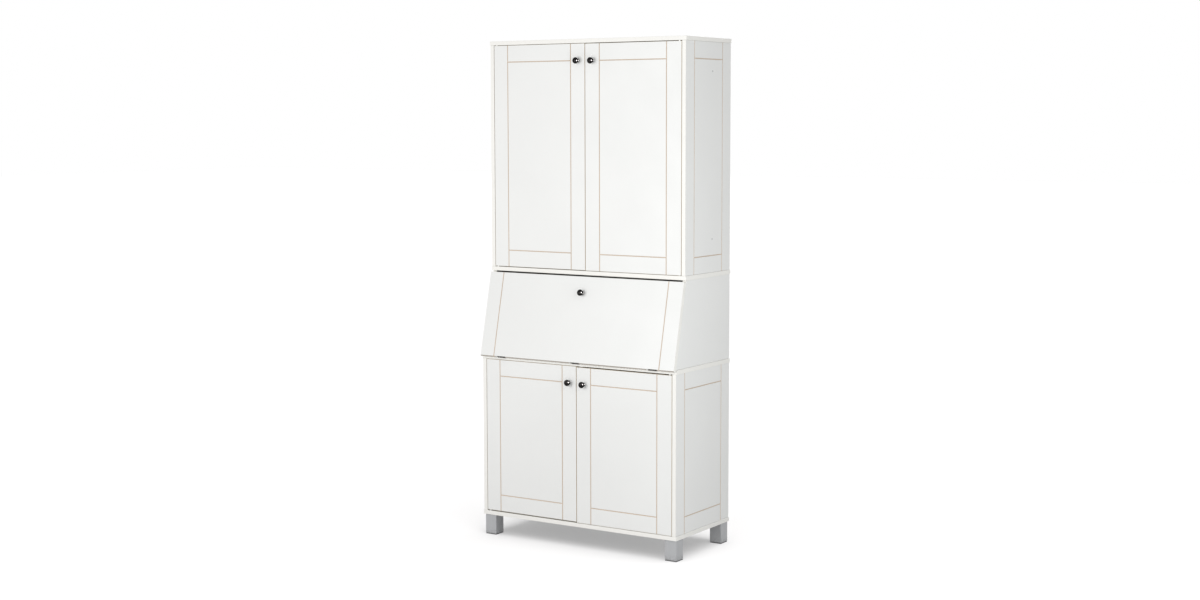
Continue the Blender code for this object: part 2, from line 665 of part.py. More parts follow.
def add_flap():
    """Drop flap on the hinge axis, modelled upright in the leaning frame. Returns axis and flap."""
    axis = add_axis("flap_axis", (0, HINGE_Y, HINGE_Z), (-FLAP_LEAN, 0, 0))
    outer, inner = HINGE_DEPTH - BOARD, HINGE_DEPTH
    low = (-SIDE_OUT, outer, -FLAP_BELOW_AXIS)
    high = (SIDE_OUT, inner, FLAP_ABOVE_AXIS)
    flap = add_board("flap", low, high, parent=axis)
    length = high[2] - low[2] + 2 * OVERCUT
    for side in (LEFT, RIGHT):
        place = (side * (SIDE_OUT - GROOVE_MARGIN), outer - GROOVE_DEPTH, (low[2] + high[2]) / 2)
        cut_groove(flap, place, length, 2, 0, axis)
    bevel = diamond_mesh("flap_bevel", (2 * SIDE_OUT + 2 * OVERCUT, FLAP_FOOT_BEVEL, FLAP_FOOT_BEVEL), 0)
    shape_with(flap, bevel, "DIFFERENCE", (0, outer, -FLAP_BELOW_AXIS), parent=axis)
    add_knob("flap_knob", (0, outer - SEAT, FLAP_ABOVE_AXIS - FLAP_KNOB_MARGIN), axis)
    return axis, flap


def add_leaf(name, knuckles, location, rotation, parent):
    """Hinge leaf: a plate upwards from the axis, its outer face to +Y, with knuckles and screw holes."""
    half = HINGE_WIDTH / 2
    inner, outer = HINGE_DEPTH - LEAF_THICK, HINGE_DEPTH
    low, high = (-half, inner, LEAF_START), (half, outer, LEAF_LENGTH)
    centre, size = centre_and_size(low, high)
    mesh = box_mesh(name, size)
    mesh.transform(Matrix.Translation(centre))
    leaf = add_piece(name, mesh, "bronzed_steel", location, rotation, parent)
    for start, end in knuckles:
        near, far = start + KNUCKLE_GAP, end - KNUCKLE_GAP
        join_box(leaf, (near, inner, 0.0), (far, outer, LEAF_START + LEAF_THICK), leaf)
        knuckle = rod_mesh(name + "_knuckle", BARREL_RADIUS, end - start)
        shape_with(leaf, knuckle, "UNION", ((start + end) / 2, 0, 0), LIE_ACROSS, leaf)
    holes = ((-LEAF_HOLE_SPREAD, LEAF_HOLE_NEAR), (0.0, LEAF_HOLE_FAR), (LEAF_HOLE_SPREAD, LEAF_HOLE_NEAR))
    for x, z in holes:
        hole = rod_mesh(name + "_hole", LEAF_HOLE_RADIUS, LEAF_THICK + 2 * OVERCUT, HOLE_SIDES)
        shape_with(leaf, hole, "DIFFERENCE", (x, centre[1], z), FACE_FORWARD, leaf)
    return leaf


def add_flap_hinges(axis, flap, desk_board):
    """Three hinges, each with a leaf let into the desk surface and one let into the flap."""
    half, third = HINGE_WIDTH / 2, HINGE_WIDTH / 6
    window = half + HINGE_WINDOW_SIDE
    outer_knuckles = [(-half, -third - KNUCKLE_GAP / 2), (third + KNUCKLE_GAP / 2, half)]
    middle_knuckle = [(KNUCKLE_GAP / 2 - third, third - KNUCKLE_GAP / 2)]
    lie_back = (-math.pi / 2, math.pi, 0)
    recess = half + SEAT
    pocket = LEAF_THICK + SEAT
    outermost = SIDE_OUT - HINGE_FROM_END
    for place, x in (("left", -outermost), ("middle", 0.0), ("right", outermost)):
        fixed = add_leaf(f"{place}_hinge_desk_leaf", outer_knuckles, (x, HINGE_Y, HINGE_Z), lie_back, None)
        pin = rod_mesh(fixed.name + "_pin", HINGE_PIN_RADIUS, HINGE_WIDTH - KNUCKLE_GAP)
        shape_with(fixed, pin, "UNION", (0, 0, 0), LIE_ACROSS, fixed)
        moving = add_leaf(f"{place}_hinge_flap_leaf", middle_knuckle, (x, 0, 0), (0, 0, 0), axis)
        bore = rod_mesh(moving.name + "_bore", HINGE_PIN_RADIUS + HINGE_PIN_PLAY, HINGE_WIDTH)
        shape_with(moving, bore, "DIFFERENCE", (0, 0, 0), LIE_ACROSS, moving)
        desk_low = (x - recess, LOWER_FRONT - OVERCUT, DESK_LEVEL - pocket)
        desk_high = (x + recess, HINGE_Y + LEAF_LENGTH + SEAT, DESK_LEVEL + OVERCUT)
        cut_box(desk_board, desk_low, desk_high)
        below = -FLAP_BELOW_AXIS - OVERCUT
        cut_box(flap, (x - recess, HINGE_DEPTH - pocket, below),
                (x + recess, HINGE_DEPTH + OVERCUT, LEAF_LENGTH + SEAT), axis)
        cut_box(flap, (x - recess, -BARREL_RADIUS - LEAF_PLAY, below),
                (x + recess, HINGE_DEPTH + OVERCUT, LEAF_START + LEAF_PLAY), axis)
        cut_box(flap, (x - window, HINGE_DEPTH - BOARD - OVERCUT, below),
                (x + window, HINGE_DEPTH + OVERCUT, HINGE_WINDOW - FLAP_BELOW_AXIS), axis)


def add_stay_stud(name, side):
    """Headed stud on a desk side, on which the slot of a stay slides."""
    flange = STAY_OFF_SIDE - SEAT
    head = STAY_OFF_SIDE + STAY_THICK + SEAT
    profile = [
        (0.0, head + STUD_HEAD_THICK),
        (STUD_HEAD_RADIUS, head + STUD_HEAD_THICK),
        (STUD_HEAD_RADIUS, head),
        (STUD_RADIUS, head),
        (STUD_RADIUS, flange),
        (STUD_FLANGE_RADIUS, flange),
        (STUD_FLANGE_RADIUS, SEAT),
        (0.0, SEAT),
    ]
    inwards = (0, -side * math.pi / 2, 0)
    add_turned(name, profile, "zinc_steel", (side * SIDE_IN, STUD_Y, STUD_Z), inwards, sides=SMALL_SIDES)


def add_stay_bracket(name, side, axis):
    """Angle bracket on the inner face of the flap, with the headed pin that a stay turns on."""
    lug_start = SIDE_IN - STAY_OFF_SIDE - STAY_THICK - SEAT
    lug_middle = side * (lug_start - BRACKET_LUG_THICK / 2)
    base = HINGE_DEPTH + SEAT
    lug = [(base - STAY_PIVOT_Y, -BRACKET_LUG_RADIUS)]
    for step in range(ARC_STEPS + 1):
        angle = math.pi * step / ARC_STEPS - math.pi / 2
        lug.append((BRACKET_LUG_RADIUS * math.cos(angle), BRACKET_LUG_RADIUS * math.sin(angle)))
    lug.append((base - STAY_PIVOT_Y, BRACKET_LUG_RADIUS))
    mesh = outline_mesh(name, [lug], BRACKET_LUG_THICK)
    place = (lug_middle, STAY_PIVOT_Y, STAY_PIVOT_Z)
    bracket = add_piece(name, mesh, "zinc_steel", place, standing(), axis)
    near, far = side_span(side, lug_start - BRACKET_BASE_WIDTH, lug_start)
    half = BRACKET_BASE_LENGTH / 2
    low = (near, base, STAY_PIVOT_Z - half)
    high = (far, base + BRACKET_BASE_THICK, STAY_PIVOT_Z + half)
    join_box(bracket, low, high, axis)
    head_start = SIDE_IN - STAY_OFF_SIDE + SEAT
    rods = ((BRACKET_PIN_RADIUS, lug_start - BRACKET_LUG_THICK / 2, head_start + BRACKET_HEAD_THICK / 2),
            (BRACKET_HEAD_RADIUS, head_start, head_start + BRACKET_HEAD_THICK))
    for radius, start, end in rods:
        rod = rod_mesh(name + "_pin", radius, end - start)
        middle = side * (start + end) / 2
        shape_with(bracket, rod, "UNION", (middle, STAY_PIVOT_Y, STAY_PIVOT_Z), LIE_ACROSS, axis)
    hole_x = side * (lug_start - BRACKET_BASE_WIDTH + BRACKET_HOLE_MARGIN)
    for hole_z in (STAY_PIVOT_Z - BRACKET_HOLE_SPREAD, STAY_PIVOT_Z + BRACKET_HOLE_SPREAD):
        hole = rod_mesh(name + "_hole", BRACKET_HOLE_RADIUS, BRACKET_BASE_THICK + 2 * OVERCUT, HOLE_SIDES)
        place = (hole_x, base + BRACKET_BASE_THICK / 2, hole_z)
        shape_with(bracket, hole, "DIFFERENCE", place, FACE_FORWARD, axis)


def add_stay(side, axis):
    """Slotted stay between the flap and one desk side, with its bracket and stud."""
    name = f"{SIDE_NAMES[side]}_stay"
    x = side * (SIDE_IN - STAY_OFF_SIDE - STAY_THICK / 2)
    pivot = add_axis(f"{name}_axis", (x, STAY_PIVOT_Y, STAY_PIVOT_Z), parent=axis)
    loops = [
        stadium(0.0, STUD_FAR, STAY_WIDTH / 2),
        stadium(STUD_NEAR, STUD_FAR, STUD_RADIUS + STAY_PLAY),
        circle(BRACKET_PIN_RADIUS + STAY_PLAY),
    ]
    add_piece(f"{name}_bar", outline_mesh(f"{name}_bar", loops, STAY_THICK), "zinc_steel",
              rotation=standing(STAY_IN_FLAP), parent=pivot)
    add_stay_bracket(f"{name}_bracket", side, axis)
    add_stay_stud(f"{name}_stud", side)


def build():
    """Put the secretary together from the floor up."""
    add_legs()
    lower_level = (CUPBOARD_BASE + DESK_LEVEL - BOARD) / 2
    cupboard = add_carcass("lower", LOWER_FRONT, CUPBOARD_BASE, DESK_LEVEL, [lower_level])
    add_shelf("lower_shelf", LOWER_FRONT, lower_level)
    storey = (UPPER_HEIGHT - 2 * BOARD) / (UPPER_SHELVES + 1)
    upper_levels = [BOOKCASE_BASE + BOARD / 2 + storey * (step + 1) for step in range(UPPER_SHELVES)]
    bookcase = add_carcass("upper", UPPER_FRONT, BOOKCASE_BASE, TOP_LEVEL, upper_levels)
    for number, level in enumerate(upper_levels, start=1):
        add_shelf(f"upper_shelf_{number}", UPPER_FRONT, level)
    for side in (LEFT, RIGHT):
        add_door("lower", side, LOWER_FRONT, CUPBOARD_BASE, DESK_LEVEL, LOWER_DOOR_GAP, LOWER_DOOR_DROP,
                 cupboard)
        add_door("upper", side, UPPER_FRONT, BOOKCASE_BASE, TOP_LEVEL, UPPER_DOOR_GAP, UPPER_DOOR_DROP,
                 bookcase)
    add_catch("lower_catch", LOWER_FRONT, DESK_LEVEL - BOARD)
    add_catch("upper_catch", UPPER_FRONT, TOP_LEVEL - BOARD)
    add_desk_sides()
    add_letter_rack()
    axis, flap = add_flap()
    add_flap_hinges(axis, flap, cupboard[0])
    for side in (LEFT, RIGHT):
        add_stay(side, axis)


build()
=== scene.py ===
"""Looks of a white drop-front secretary.

Coated boards with routed grooves, dark turned knobs, lacquered legs, small fittings and the studio.
"""

import json
import math

import bpy
import numpy as np
from mathutils import Matrix, Vector

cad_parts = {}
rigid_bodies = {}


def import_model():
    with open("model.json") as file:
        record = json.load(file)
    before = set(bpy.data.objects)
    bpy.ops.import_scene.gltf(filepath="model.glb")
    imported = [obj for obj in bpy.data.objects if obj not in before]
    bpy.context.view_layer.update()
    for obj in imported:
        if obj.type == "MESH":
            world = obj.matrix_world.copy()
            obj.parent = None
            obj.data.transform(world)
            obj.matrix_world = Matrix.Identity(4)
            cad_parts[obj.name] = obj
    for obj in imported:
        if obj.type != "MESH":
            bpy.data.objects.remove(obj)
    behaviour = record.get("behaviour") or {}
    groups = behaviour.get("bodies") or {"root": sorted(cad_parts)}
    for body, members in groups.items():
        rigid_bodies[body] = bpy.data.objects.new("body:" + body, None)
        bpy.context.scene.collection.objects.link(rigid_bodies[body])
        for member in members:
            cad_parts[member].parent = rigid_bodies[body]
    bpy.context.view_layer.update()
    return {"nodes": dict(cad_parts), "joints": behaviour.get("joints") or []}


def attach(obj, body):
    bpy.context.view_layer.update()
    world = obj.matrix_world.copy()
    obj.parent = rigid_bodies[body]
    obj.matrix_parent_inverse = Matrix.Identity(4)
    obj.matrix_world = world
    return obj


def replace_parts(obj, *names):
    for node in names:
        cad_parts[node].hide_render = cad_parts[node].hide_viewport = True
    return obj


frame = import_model()

bl_info = {
    "name": "White drop-front secretary",
    "version": (1, 0, 0),
    "blender": (4, 5, 0),
    "location": "View3D > Sidebar > Secretary",
    "description": "Finishes, fittings and studio of a white writing desk with bookcase",
    "category": "Object",
}

UNITS = ("lower", "upper")
SIDES = ("left", "right")
ALONG_X = (1.0, 0.0, 0.0)
ALONG_Y = (0.0, 1.0, 0.0)
ALONG_Z = (0.0, 0.0, 1.0)
EVEN = (1.0, 1.0, 1.0)  # brush lines with no direction
WHITE = (1.0, 1.0, 1.0)
CREASE = math.radians(48.0)  # faces that meet at more than this keep a sharp edge
BUMP_STRENGTH = 0.6
COAT_RELIEF = 0.00006  # depth of the coating's pearl
METAL_RELIEF = 0.00002  # depth of brush lines
POLISH_RELIEF = 0.000004  # depth of the lines that polishing leaves
PLASTIC_RELIEF = 0.00004  # depth of the grain of moulded plastic
PLASTIC_PEARL = 0.0006  # size of that grain
FIBRE_RELIEF = 0.00012  # depth of the fibres of hardboard
FIBRE_PEARL = 0.0022  # size of the uneven paint over them
NO_SLOPE = ((0.0, 0.0, 0.0), -1.0)  # normal and place of an edge that is a metre off everywhere
LAMP_AIM = 1.15  # height that the softboxes look at
FLOOR_HALF = 40.0
FLOOR_DROP = 0.0003  # floor below the glides

FLAP_HINGE = next(joint for joint in frame["joints"] if joint["name"] == "flap_drop")
# The flap drops until it is level, so at rest it leans back by its travel beyond a quarter turn.
FLAP_LEAN = math.radians(FLAP_HINGE["range_deg"][1] - 90.0)
FLAP_AXIS = Vector(FLAP_HINGE["pos_m"])
# Turns the row frame into the flap's own: X along the hinges, Y through the board, Z up the board.
TO_FLAP = Matrix.Rotation(FLAP_LEAN, 4, "X") @ Matrix.Translation(-FLAP_AXIS)


# Sizes and colours

def tint(name, description, default):
    """Colour that a user can change."""
    return bpy.props.FloatVectorProperty(
        name=name, description=description, default=default, subtype="COLOR", size=3, min=0.0, max=1.0)


def number(name, description, default, **limits):
    """Number that a user can change."""
    return bpy.props.FloatProperty(name=name, description=description, default=default, **limits)


def length(name, description, default):
    """Length in metres."""
    return number(name, description, default, unit="LENGTH", min=0.0, precision=4)


def angle(name, description, degrees):
    """Angle, given in degrees."""
    return number(name, description, math.radians(degrees), unit="ROTATION")


def amount(name, description, default, unit="NONE"):
    """Number that isn't below zero."""
    return number(name, description, default, unit=unit, min=0.0)


class SecretaryBoards(bpy.types.PropertyGroup):
    """Finish of the boards, doors and panels."""

    face: tint("Face", "White coating of the board faces", (0.86, 0.86, 0.845))
    band: tint("Edge band", "Band glued round the board edges", (0.92, 0.905, 0.865))
    # Door edge colour: bare brown edges, made lighter as painted light in the deep seams and gaps
    # between the doors.
    door_edge_and_seam_light: tint("Door edge", "Bare edges of the doors, which show in the seams", (0.74, 0.65, 0.52))
    seam: tint("Band seam", "Glue line between the band and the face", (0.70, 0.67, 0.61))
    groove: tint("Groove", "Bare routed groove", (0.70, 0.595, 0.49))
    hardboard: tint("Hardboard", "White face of the back panels", (0.84, 0.835, 0.80))
    fibre: tint("Hardboard fibre", "Brown fibre that shows through the white face", (0.42, 0.30, 0.19))
    band_width: length("Band thickness", "Thickness of the edge band", 0.0008)
    groove_margin: length("Groove margin", "From a panel's edge to the middle of its groove", 0.065)
    groove_width: length("Groove width", "Width of a groove at the face", 0.004)
    groove_depth: length("Groove depth", "Depth below the face down to which a groove is bare", 0.0026)
    foot_bevel: length("Flap foot", "Height of the bare bevel along the flap's lower edge", 0.0030)
    # The flap foot colour is darker and greyer than a bare edge: partly the bare bevel, partly painted
    # shade of the line under the flap's overhang.
    foot: tint("Flap foot colour", "Bare bevel along the flap's lower edge", (0.40, 0.36, 0.315))
    pearl: length("Pearl", "Size of the fine pearl of the coating", 0.0012)


class SecretaryMetals(bpy.types.PropertyGroup):
    """Finish of the metal and plastic pieces."""

    # Both knob colours are near black as a painted dark reflection, standing in for the dark
    # surroundings that the polished knobs mirror; the handled one adds a finger film.
    nickel: tint("Black nickel", "Polished knobs", (0.013, 0.0125, 0.0125))
    handled: tint("Handled nickel", "Knobs where fingers leave a film", (0.019, 0.018, 0.0175))
    silver: tint("Silver lacquer", "Lacquered legs", (0.435, 0.44, 0.45))
    # Colour that the legs take in patches over their lowest 3 cm, darker towards the floor.
    silver_darkened: tint("Worn lacquer", "Lacquer rubbed near the floor", (0.31, 0.31, 0.31))
    steel: tint("Zinc steel", "Plated stays, pivots, strikes and screws", (0.60, 0.60, 0.585))
    spangle: tint("Zinc spangle", "Duller crystals of the plating", (0.46, 0.465, 0.46))
    # Near-black hinges: a browned finish whose darkness also paints the shade on the knuckles seen
    # under the flap.
    browned_and_shaded: tint("Browned steel", "Browned hinges of the flap", (0.085, 0.078, 0.072))
    glide: tint("Glide", "Dark plastic under the legs", (0.10, 0.10, 0.10))
    plastic: tint("White plastic", "Catches of the doors", (0.82, 0.815, 0.78))
    cap: tint("Cap plastic", "Greyer caps over the fixing screws", (0.58, 0.58, 0.57))
    brush: length("Brush line", "Width of the brush lines on the metal", 0.0004)


class SecretaryFittings(bpy.types.PropertyGroup):
    """Sizes of the small fittings."""

    screw_radius: length("Screw head", "Radius of a screw head", 0.0030)
    screw_rise: length("Screw rise", "Height of a screw head", 0.0005)
    pin_radius: length("Shelf pin", "Radius of a shelf pin", 0.0022)
    pin_length: length("Shelf pin length", "How far a shelf pin stands out of the side", 0.0085)
    pin_root: length("Shelf pin root", "How far a shelf pin reaches into its hole", 0.0080)
    pin_inset: length("Shelf pin inset", "From a shelf's edge to its pins", 0.045)
    pin_play: length("Shelf pin play", "Between a shelf and its pins", 0.0002)
    hinge_spread: length("Hinge screw spread", "From the middle of a leaf to its outer screws", 0.011)
    hinge_outer: length("Outer hinge screws", "From a leaf's free edge to its outer screws", 0.0115)
    hinge_middle: length("Middle hinge screw", "From a leaf's free edge to its middle screw", 0.0060)
    bracket_spread: length("Bracket screws", "From the middle of a stay bracket to its screws", 0.0085)
    bracket_edge: length("Bracket edge", "From a bracket's inner edge to its screws", 0.0065)
    bracket_base: length("Bracket base", "Thickness of a bracket's base", 0.0020)
    cap_radius: length("Cover cap", "Radius of the caps over the fixing screws", 0.0042)
    cap_rise: length("Cover cap rise", "Height of a cap", 0.0005)
    cap_above: length("Lower cap", "Lower cap above the foot of a bookcase side", 0.128)
    cap_below: length("Upper cap", "Upper cap below the head of a bookcase side", 0.110)
    cap_depth: amount("Cap depth", "Share of a side's depth that lies before its caps", 0.590)
    strike_length: length("Strike length", "Length of a strike plate on a door", 0.0180)
    strike_height: length("Strike height", "Height of a strike plate on a door", 0.0110)
    strike_thickness: length("Strike thickness", "Thickness of a strike plate", 0.0010)
    strike_place: length("Strike place", "From the doors' seam to the middle of a strike", 0.0120)
    pole_height: length("Pole height", "Height of a catch's pole plate", 0.0030)
    pole_thickness: length("Pole thickness", "Thickness of a catch's pole plate", 0.0004)
    pole_lift: length("Pole lift", "From the middle of a catch up or down to its poles", 0.0030)
    catch_screw: length("Catch screw", "From the doors' seam to a screw of the catch", 0.0280)
    catch_flange: length("Catch flange", "Thickness of a catch's flange", 0.0030)


class SecretaryStage(bpy.types.PropertyGroup):
    """Camera, lamps and floor."""

    eye: bpy.props.FloatVectorProperty(
        name="Eye", description="Place of the camera", default=(3.8017, -5.8968, 1.6620),
        subtype="XYZ", unit="LENGTH")
    lens: amount("Lens", "Focal length in millimetres on the sensor", 53.677, "CAMERA")
    sensor: amount("Sensor", "Width of the sensor in millimetres", 36.0, "CAMERA")
    azimuth: angle("Azimuth", "Turn of the camera round the object", 32.913)
    pitch: angle("Pitch", "How far the camera looks down", 5.752)
    roll: angle("Roll", "Turn of the camera round its view", -0.102)
    floor: tint("Floor", "Pale floor as the camera sees it", (0.500, 0.495, 0.495))
    bounce: tint("Floor bounce", "Pale floor as it lights the object", (0.362, 0.362, 0.362))
    glow: amount("Floor glow", "Light that the floor adds where the camera sees it", 0.325)
    room: amount("Room", "Even light of the room", 0.44)
    overhead: amount("Overhead", "Strength of the overhead lamp that lights the floor", 3.48)
    overhead_spread: angle("Overhead spread", "How wide the overhead lamp looks from the floor", 80.0)
    left_box: amount("Left softbox", "Large softbox left of the camera", 60.0, "POWER")
    right_box: amount("Right softbox", "Tall softbox right of the object", 9.7, "POWER")
    back_box: amount("Back softbox", "Softbox that lights the top and the back", 62.0, "POWER")
    cool: tint("Right softbox colour", "Slightly cool light of the right softbox", (0.96, 0.995, 1.0))
    card: amount("Knob card", "Card that the polished knobs mirror", 2000.0, "POWER")


# Surfaces

def circle(sides):
    """Unit circle: the point at parameter t is (cos t, sin t)."""
    turn = np.linspace(0.0, 2.0 * np.pi, sides, endpoint=False)
    return np.stack([np.cos(turn), np.sin(turn)], axis=1)


def rounded_oblong(width, height, sides, power=6.0):
    """Superellipse.

    Each coordinate of the unit circle is raised to 2/power, keeping its sign, and then stretched.
    """
    flat = circle(sides)
    return np.sign(flat) * np.abs(flat) ** (2.0 / power) * np.array([width / 2.0, height / 2.0])


def capped(outline, scales, heights):
    """Closed surface of a flat outline carried down a profile.

    Row i is the outline times scales[i], raised to heights[i], which may also change along the
    outline. The first row is the tip and the last the middle of the base, each one point. The
    faces are triangles round the tip, four-sided bands and triangles round the base.
    """
    rows, sides = len(scales), len(outline)
    rings = np.empty((rows, sides, 3))
    rings[:, :, :2] = np.asarray(scales, float)[:, None, None] * outline
    rings[:, :, 2] = np.asarray(heights, float).reshape(rows, -1)
    points = np.concatenate([rings[:1].mean(1), rings[1:-1].reshape(-1, 3), rings[-1:].mean(1)])
    step = np.arange(sides)
    after = (step + 1) % sides
    first = 1 + sides * np.arange(rows - 3)[:, None]
    bands = np.stack(
        [first + step, first + sides + step, first + sides + after, first + after], axis=2)
    last = 1 + sides * (rows - 3)
    tip = np.stack([np.zeros(sides, int), 1 + step, 1 + after], axis=1)
    base = np.stack([np.full(sides, last + sides), last + after, last + step], axis=1)
    return points, (tip, bands.reshape(-1, 4), base)


def placed(shape, origin, outwards, along=ALONG_Z):
    """Shape with its base at origin, its height outwards and its first direction along.

    Each point is its three coordinates times three unit vectors: along without its share of
    outwards, the cross product of the two, and outwards.
    """
    points, faces = shape
    normal = np.asarray(outwards, float)
    normal = normal / np.linalg.norm(normal)
    first = np.asarray(along, float)
    first = first - normal * (first @ normal)
    first = first / np.linalg.norm(first)
    turned = np.stack([first, np.cross(normal, first), normal])
    return points @ turned + np.asarray(origin, float), faces


def joined(shapes):
    """Points and faces of several shapes as one mesh; each shape counts on from the last one."""
    starts = np.cumsum([0] + [len(points) for points, _ in shapes])
    faces = []
    for (_, parts), start in zip(shapes, starts):
        for part in parts:
            faces += (part + start).tolist()
    return np.concatenate([points for points, _ in shapes]), faces


def add_piece(name, shapes, material, body):
    """New piece in the row frame that moves with a body."""
    points, faces = joined(shapes)
    mesh = bpy.data.meshes.new(name)
    mesh.from_pydata(points.tolist(), [], faces)
    mesh.validate()
    mesh.shade_smooth()
    mesh.set_sharp_from_angle(angle=CREASE)
    mesh.materials.append(material)
    piece = bpy.data.objects.new(name, mesh)
    bpy.context.scene.collection.objects.link(piece)
    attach(piece, body)
    return piece


def knob_shape(radius, height):
    """Turned mushroom knob, tip first.

    The head is the quarter of an ellipse down to its widest ring, the underside another quarter
    in to the neck, the neck a hollow cosine and the foot a disc with a rounded rim.
    """
    bow = np.linspace(0.0, np.pi / 2.0, 22)
    widest, under, foot = 0.645 * height, 0.36 * height, 0.105 * height
    neck, base = 0.40 * radius, 0.64 * radius
    waist = np.linspace(0.0, 1.0, 9)[1:]
    scales = np.concatenate([
        radius * np.sin(bow),
        neck + (radius - neck) * np.cos(bow[1:]) ** 0.8,
        neck + (base * 0.92 - neck) * waist ** 3,
        base - base * 0.08 * np.cos(bow[::3]),
        [base, 0.0],
    ])
    heights = np.concatenate([
        widest + (height - widest) * np.cos(bow),
        widest - (widest - under) * np.sin(bow[1:]),
        under + (foot - under) * waist,
        foot - foot * 0.5 * np.sin(bow[::3]),
        [0.0, 0.0],
    ])
    return capped(circle(88), scales, heights)


def screw_shape(radius, rise):
    """Screw head: a low cosine dome over a ring, sunk by a cross.

    The cross is one where the lesser of the two flat coordinates is within an arm's half width
    and the greater within its length, with soft steps at both.
    """
    reach = np.concatenate([np.linspace(0.0, 0.92, 15), [1.0, 1.0, 0.0]])
    outline = circle(48)
    across = np.abs(reach[:, None, None] * outline)
    half_width, side_step, arm_length, end_step = 0.17, 0.06, 0.62, 0.10
    arm = np.clip((half_width - across.min(2)) / side_step, 0.0, 1.0)
    arm = arm * np.clip((arm_length - across.max(2)) / end_step, 0.0, 1.0)
    rim, sunk = 0.35, 1.4
    dome = rise * (rim + (1.0 - rim) * np.cos(reach * np.pi / 2.0))[:, None]
    heights = dome - arm * rise * sunk
    heights[-3] = 0.8 * rim * rise
    heights[-2:] = -rise
    return capped(outline, radius * reach, heights)


def pin_shape(radius, reach, root):
    """Shelf pin: a rod with a ball end, from its tip to the end of its root.

    The end is a quarter circle, and one turned ring is sunk by a half wave of the sine.
    """
    bow = np.linspace(0.0, np.pi / 2.0, 9)
    ring = np.linspace(0.0, np.pi, 9)
    ring_depth, ring_top, ring_width = 0.12 * radius, 0.42, 0.10
    scales = np.concatenate([
        radius * np.sin(bow),
        radius - ring_depth * np.sin(ring),
        [radius, 0.0],
    ])
    heights = np.concatenate([
        reach - radius * (1.0 - np.cos(bow)),
        reach * (ring_top - ring_width * ring / np.pi),
        [-root, -root],
    ])
    return capped(circle(28), scales, heights)


def plate_shape(outline, thickness, edge):
    """Thin plate: its outline shrunk to the middle.

    Its rim is a quarter ellipse, as wide as the share edge of the outline, over a straight foot.
    """
    bow = np.linspace(0.0, np.pi / 2.0, 6)
    inner_ring, foot = 0.45, 0.35
    scales = np.concatenate([[0.0, inner_ring], 1.0 - edge + edge * np.sin(bow), [1.0, 0.0]])
    rim = foot + (1.0 - foot) * np.cos(bow)
    heights = thickness * np.concatenate([[1.0, 1.0], rim, [0.0, 0.0]])
    return capped(outline, scales, heights)


def cap_shape(radius, rise):
    """Cover cap: a low lens over a rim.

    It falls to the rim with the fourth power of the distance from its middle.
    """
    reach = np.linspace(0.0, 1.0, 14)
    rim, sunk = 0.3, 0.0002
    scales = np.concatenate([radius * reach, [radius, 0.0]])
    heights = np.concatenate([rise * (1.0 - (1.0 - rim) * reach ** 4), [-sunk, -sunk]])
    return capped(circle(40), scales, heights)


# Shader nodes

class Tree:
    """Adds nodes to one node tree and links them."""

    def __init__(self, tree):
        self.tree = tree

    def add(self, kind, inputs=None, **settings):
        """Node with its settings; an input is a socket to link or a value to set."""
        node = self.tree.nodes.new(kind)
        for key, value in settings.items():
            setattr(node, key, value)
        for key, value in (inputs or {}).items():
            self.give(node.inputs[key], value)
        return node

    def give(self, socket, value):
        """Links or sets one input."""
        if isinstance(value, bpy.types.NodeSocket):
            self.tree.links.new(value, socket)
        elif socket.type == "RGBA":
            socket.default_value = (*value[:3], 1.0)
        else:
            socket.default_value = value

    def math(self, operation, *values):
        """Result of a Math node."""
        return self.add("ShaderNodeMath", dict(enumerate(values)), operation=operation).outputs[0]

    def vector(self, operation, *values):
        """Result of a Vector Math node, a number for a dot product."""
        node = self.add("ShaderNodeVectorMath", dict(enumerate(values)), operation=operation)
        return node.outputs["Value" if operation == "DOT_PRODUCT" else "Vector"]

    def step(self, value, start, end, low=0.0, high=1.0):
        """Smooth step from low at start to high at end."""
        inputs = {"Value": value, "From Min": start, "From Max": end, "To Min": low, "To Max": high}
        return self.add("ShaderNodeMapRange", inputs, interpolation_type="SMOOTHSTEP").outputs[0]

    def mix(self, factor, first, second, blend="MIX"):
        """Mix of two colours, whose sockets come after those for numbers and vectors."""
        inputs = {0: factor, 6: first, 7: second}
        return self.add("ShaderNodeMix", inputs, data_type="RGBA", blend_type=blend).outputs[2]

    def noise(self, position, scale, detail=2.0, roughness=0.5):
        """Soft noise from 0 to 1."""
        inputs = {"Vector": position, "Scale": scale, "Detail": detail, "Roughness": roughness}
        return self.add("ShaderNodeTexNoise", inputs).outputs[0]

    def shaded(self, colour, tone):
        """Colour times a tone that varies."""
        grey = self.add("ShaderNodeCombineColor", {0: tone, 1: tone, 2: tone}).outputs[0]
        return self.mix(1.0, colour, grey, "MULTIPLY")

    def use(self, name, position, inputs):
        """Outputs of a shared node group at a position, placed with its own values."""
        node = self.add("ShaderNodeGroup", node_tree=bpy.data.node_groups[name])
        for key, value in {"Position": position, **inputs}.items():
            self.give(node.inputs[key], value)
        return node.outputs


def new_group(name, vectors, numbers, outputs):
    """Empty node group with named sockets: its tree, its inputs and its outputs."""
    group = bpy.data.node_groups.new(name, "ShaderNodeTree")
    sockets = (("INPUT", "Vector", ("Position", *vectors)), ("INPUT", "Float", numbers),
               ("OUTPUT", "Float", outputs))
    for way, kind, keys in sockets:
        for key in keys:
            group.interface.new_socket(name=key, in_out=way, socket_type="NodeSocket" + kind)
    tree = Tree(group)
    return tree, tree.add("NodeGroupInput").outputs, tree.add("NodeGroupOutput").inputs


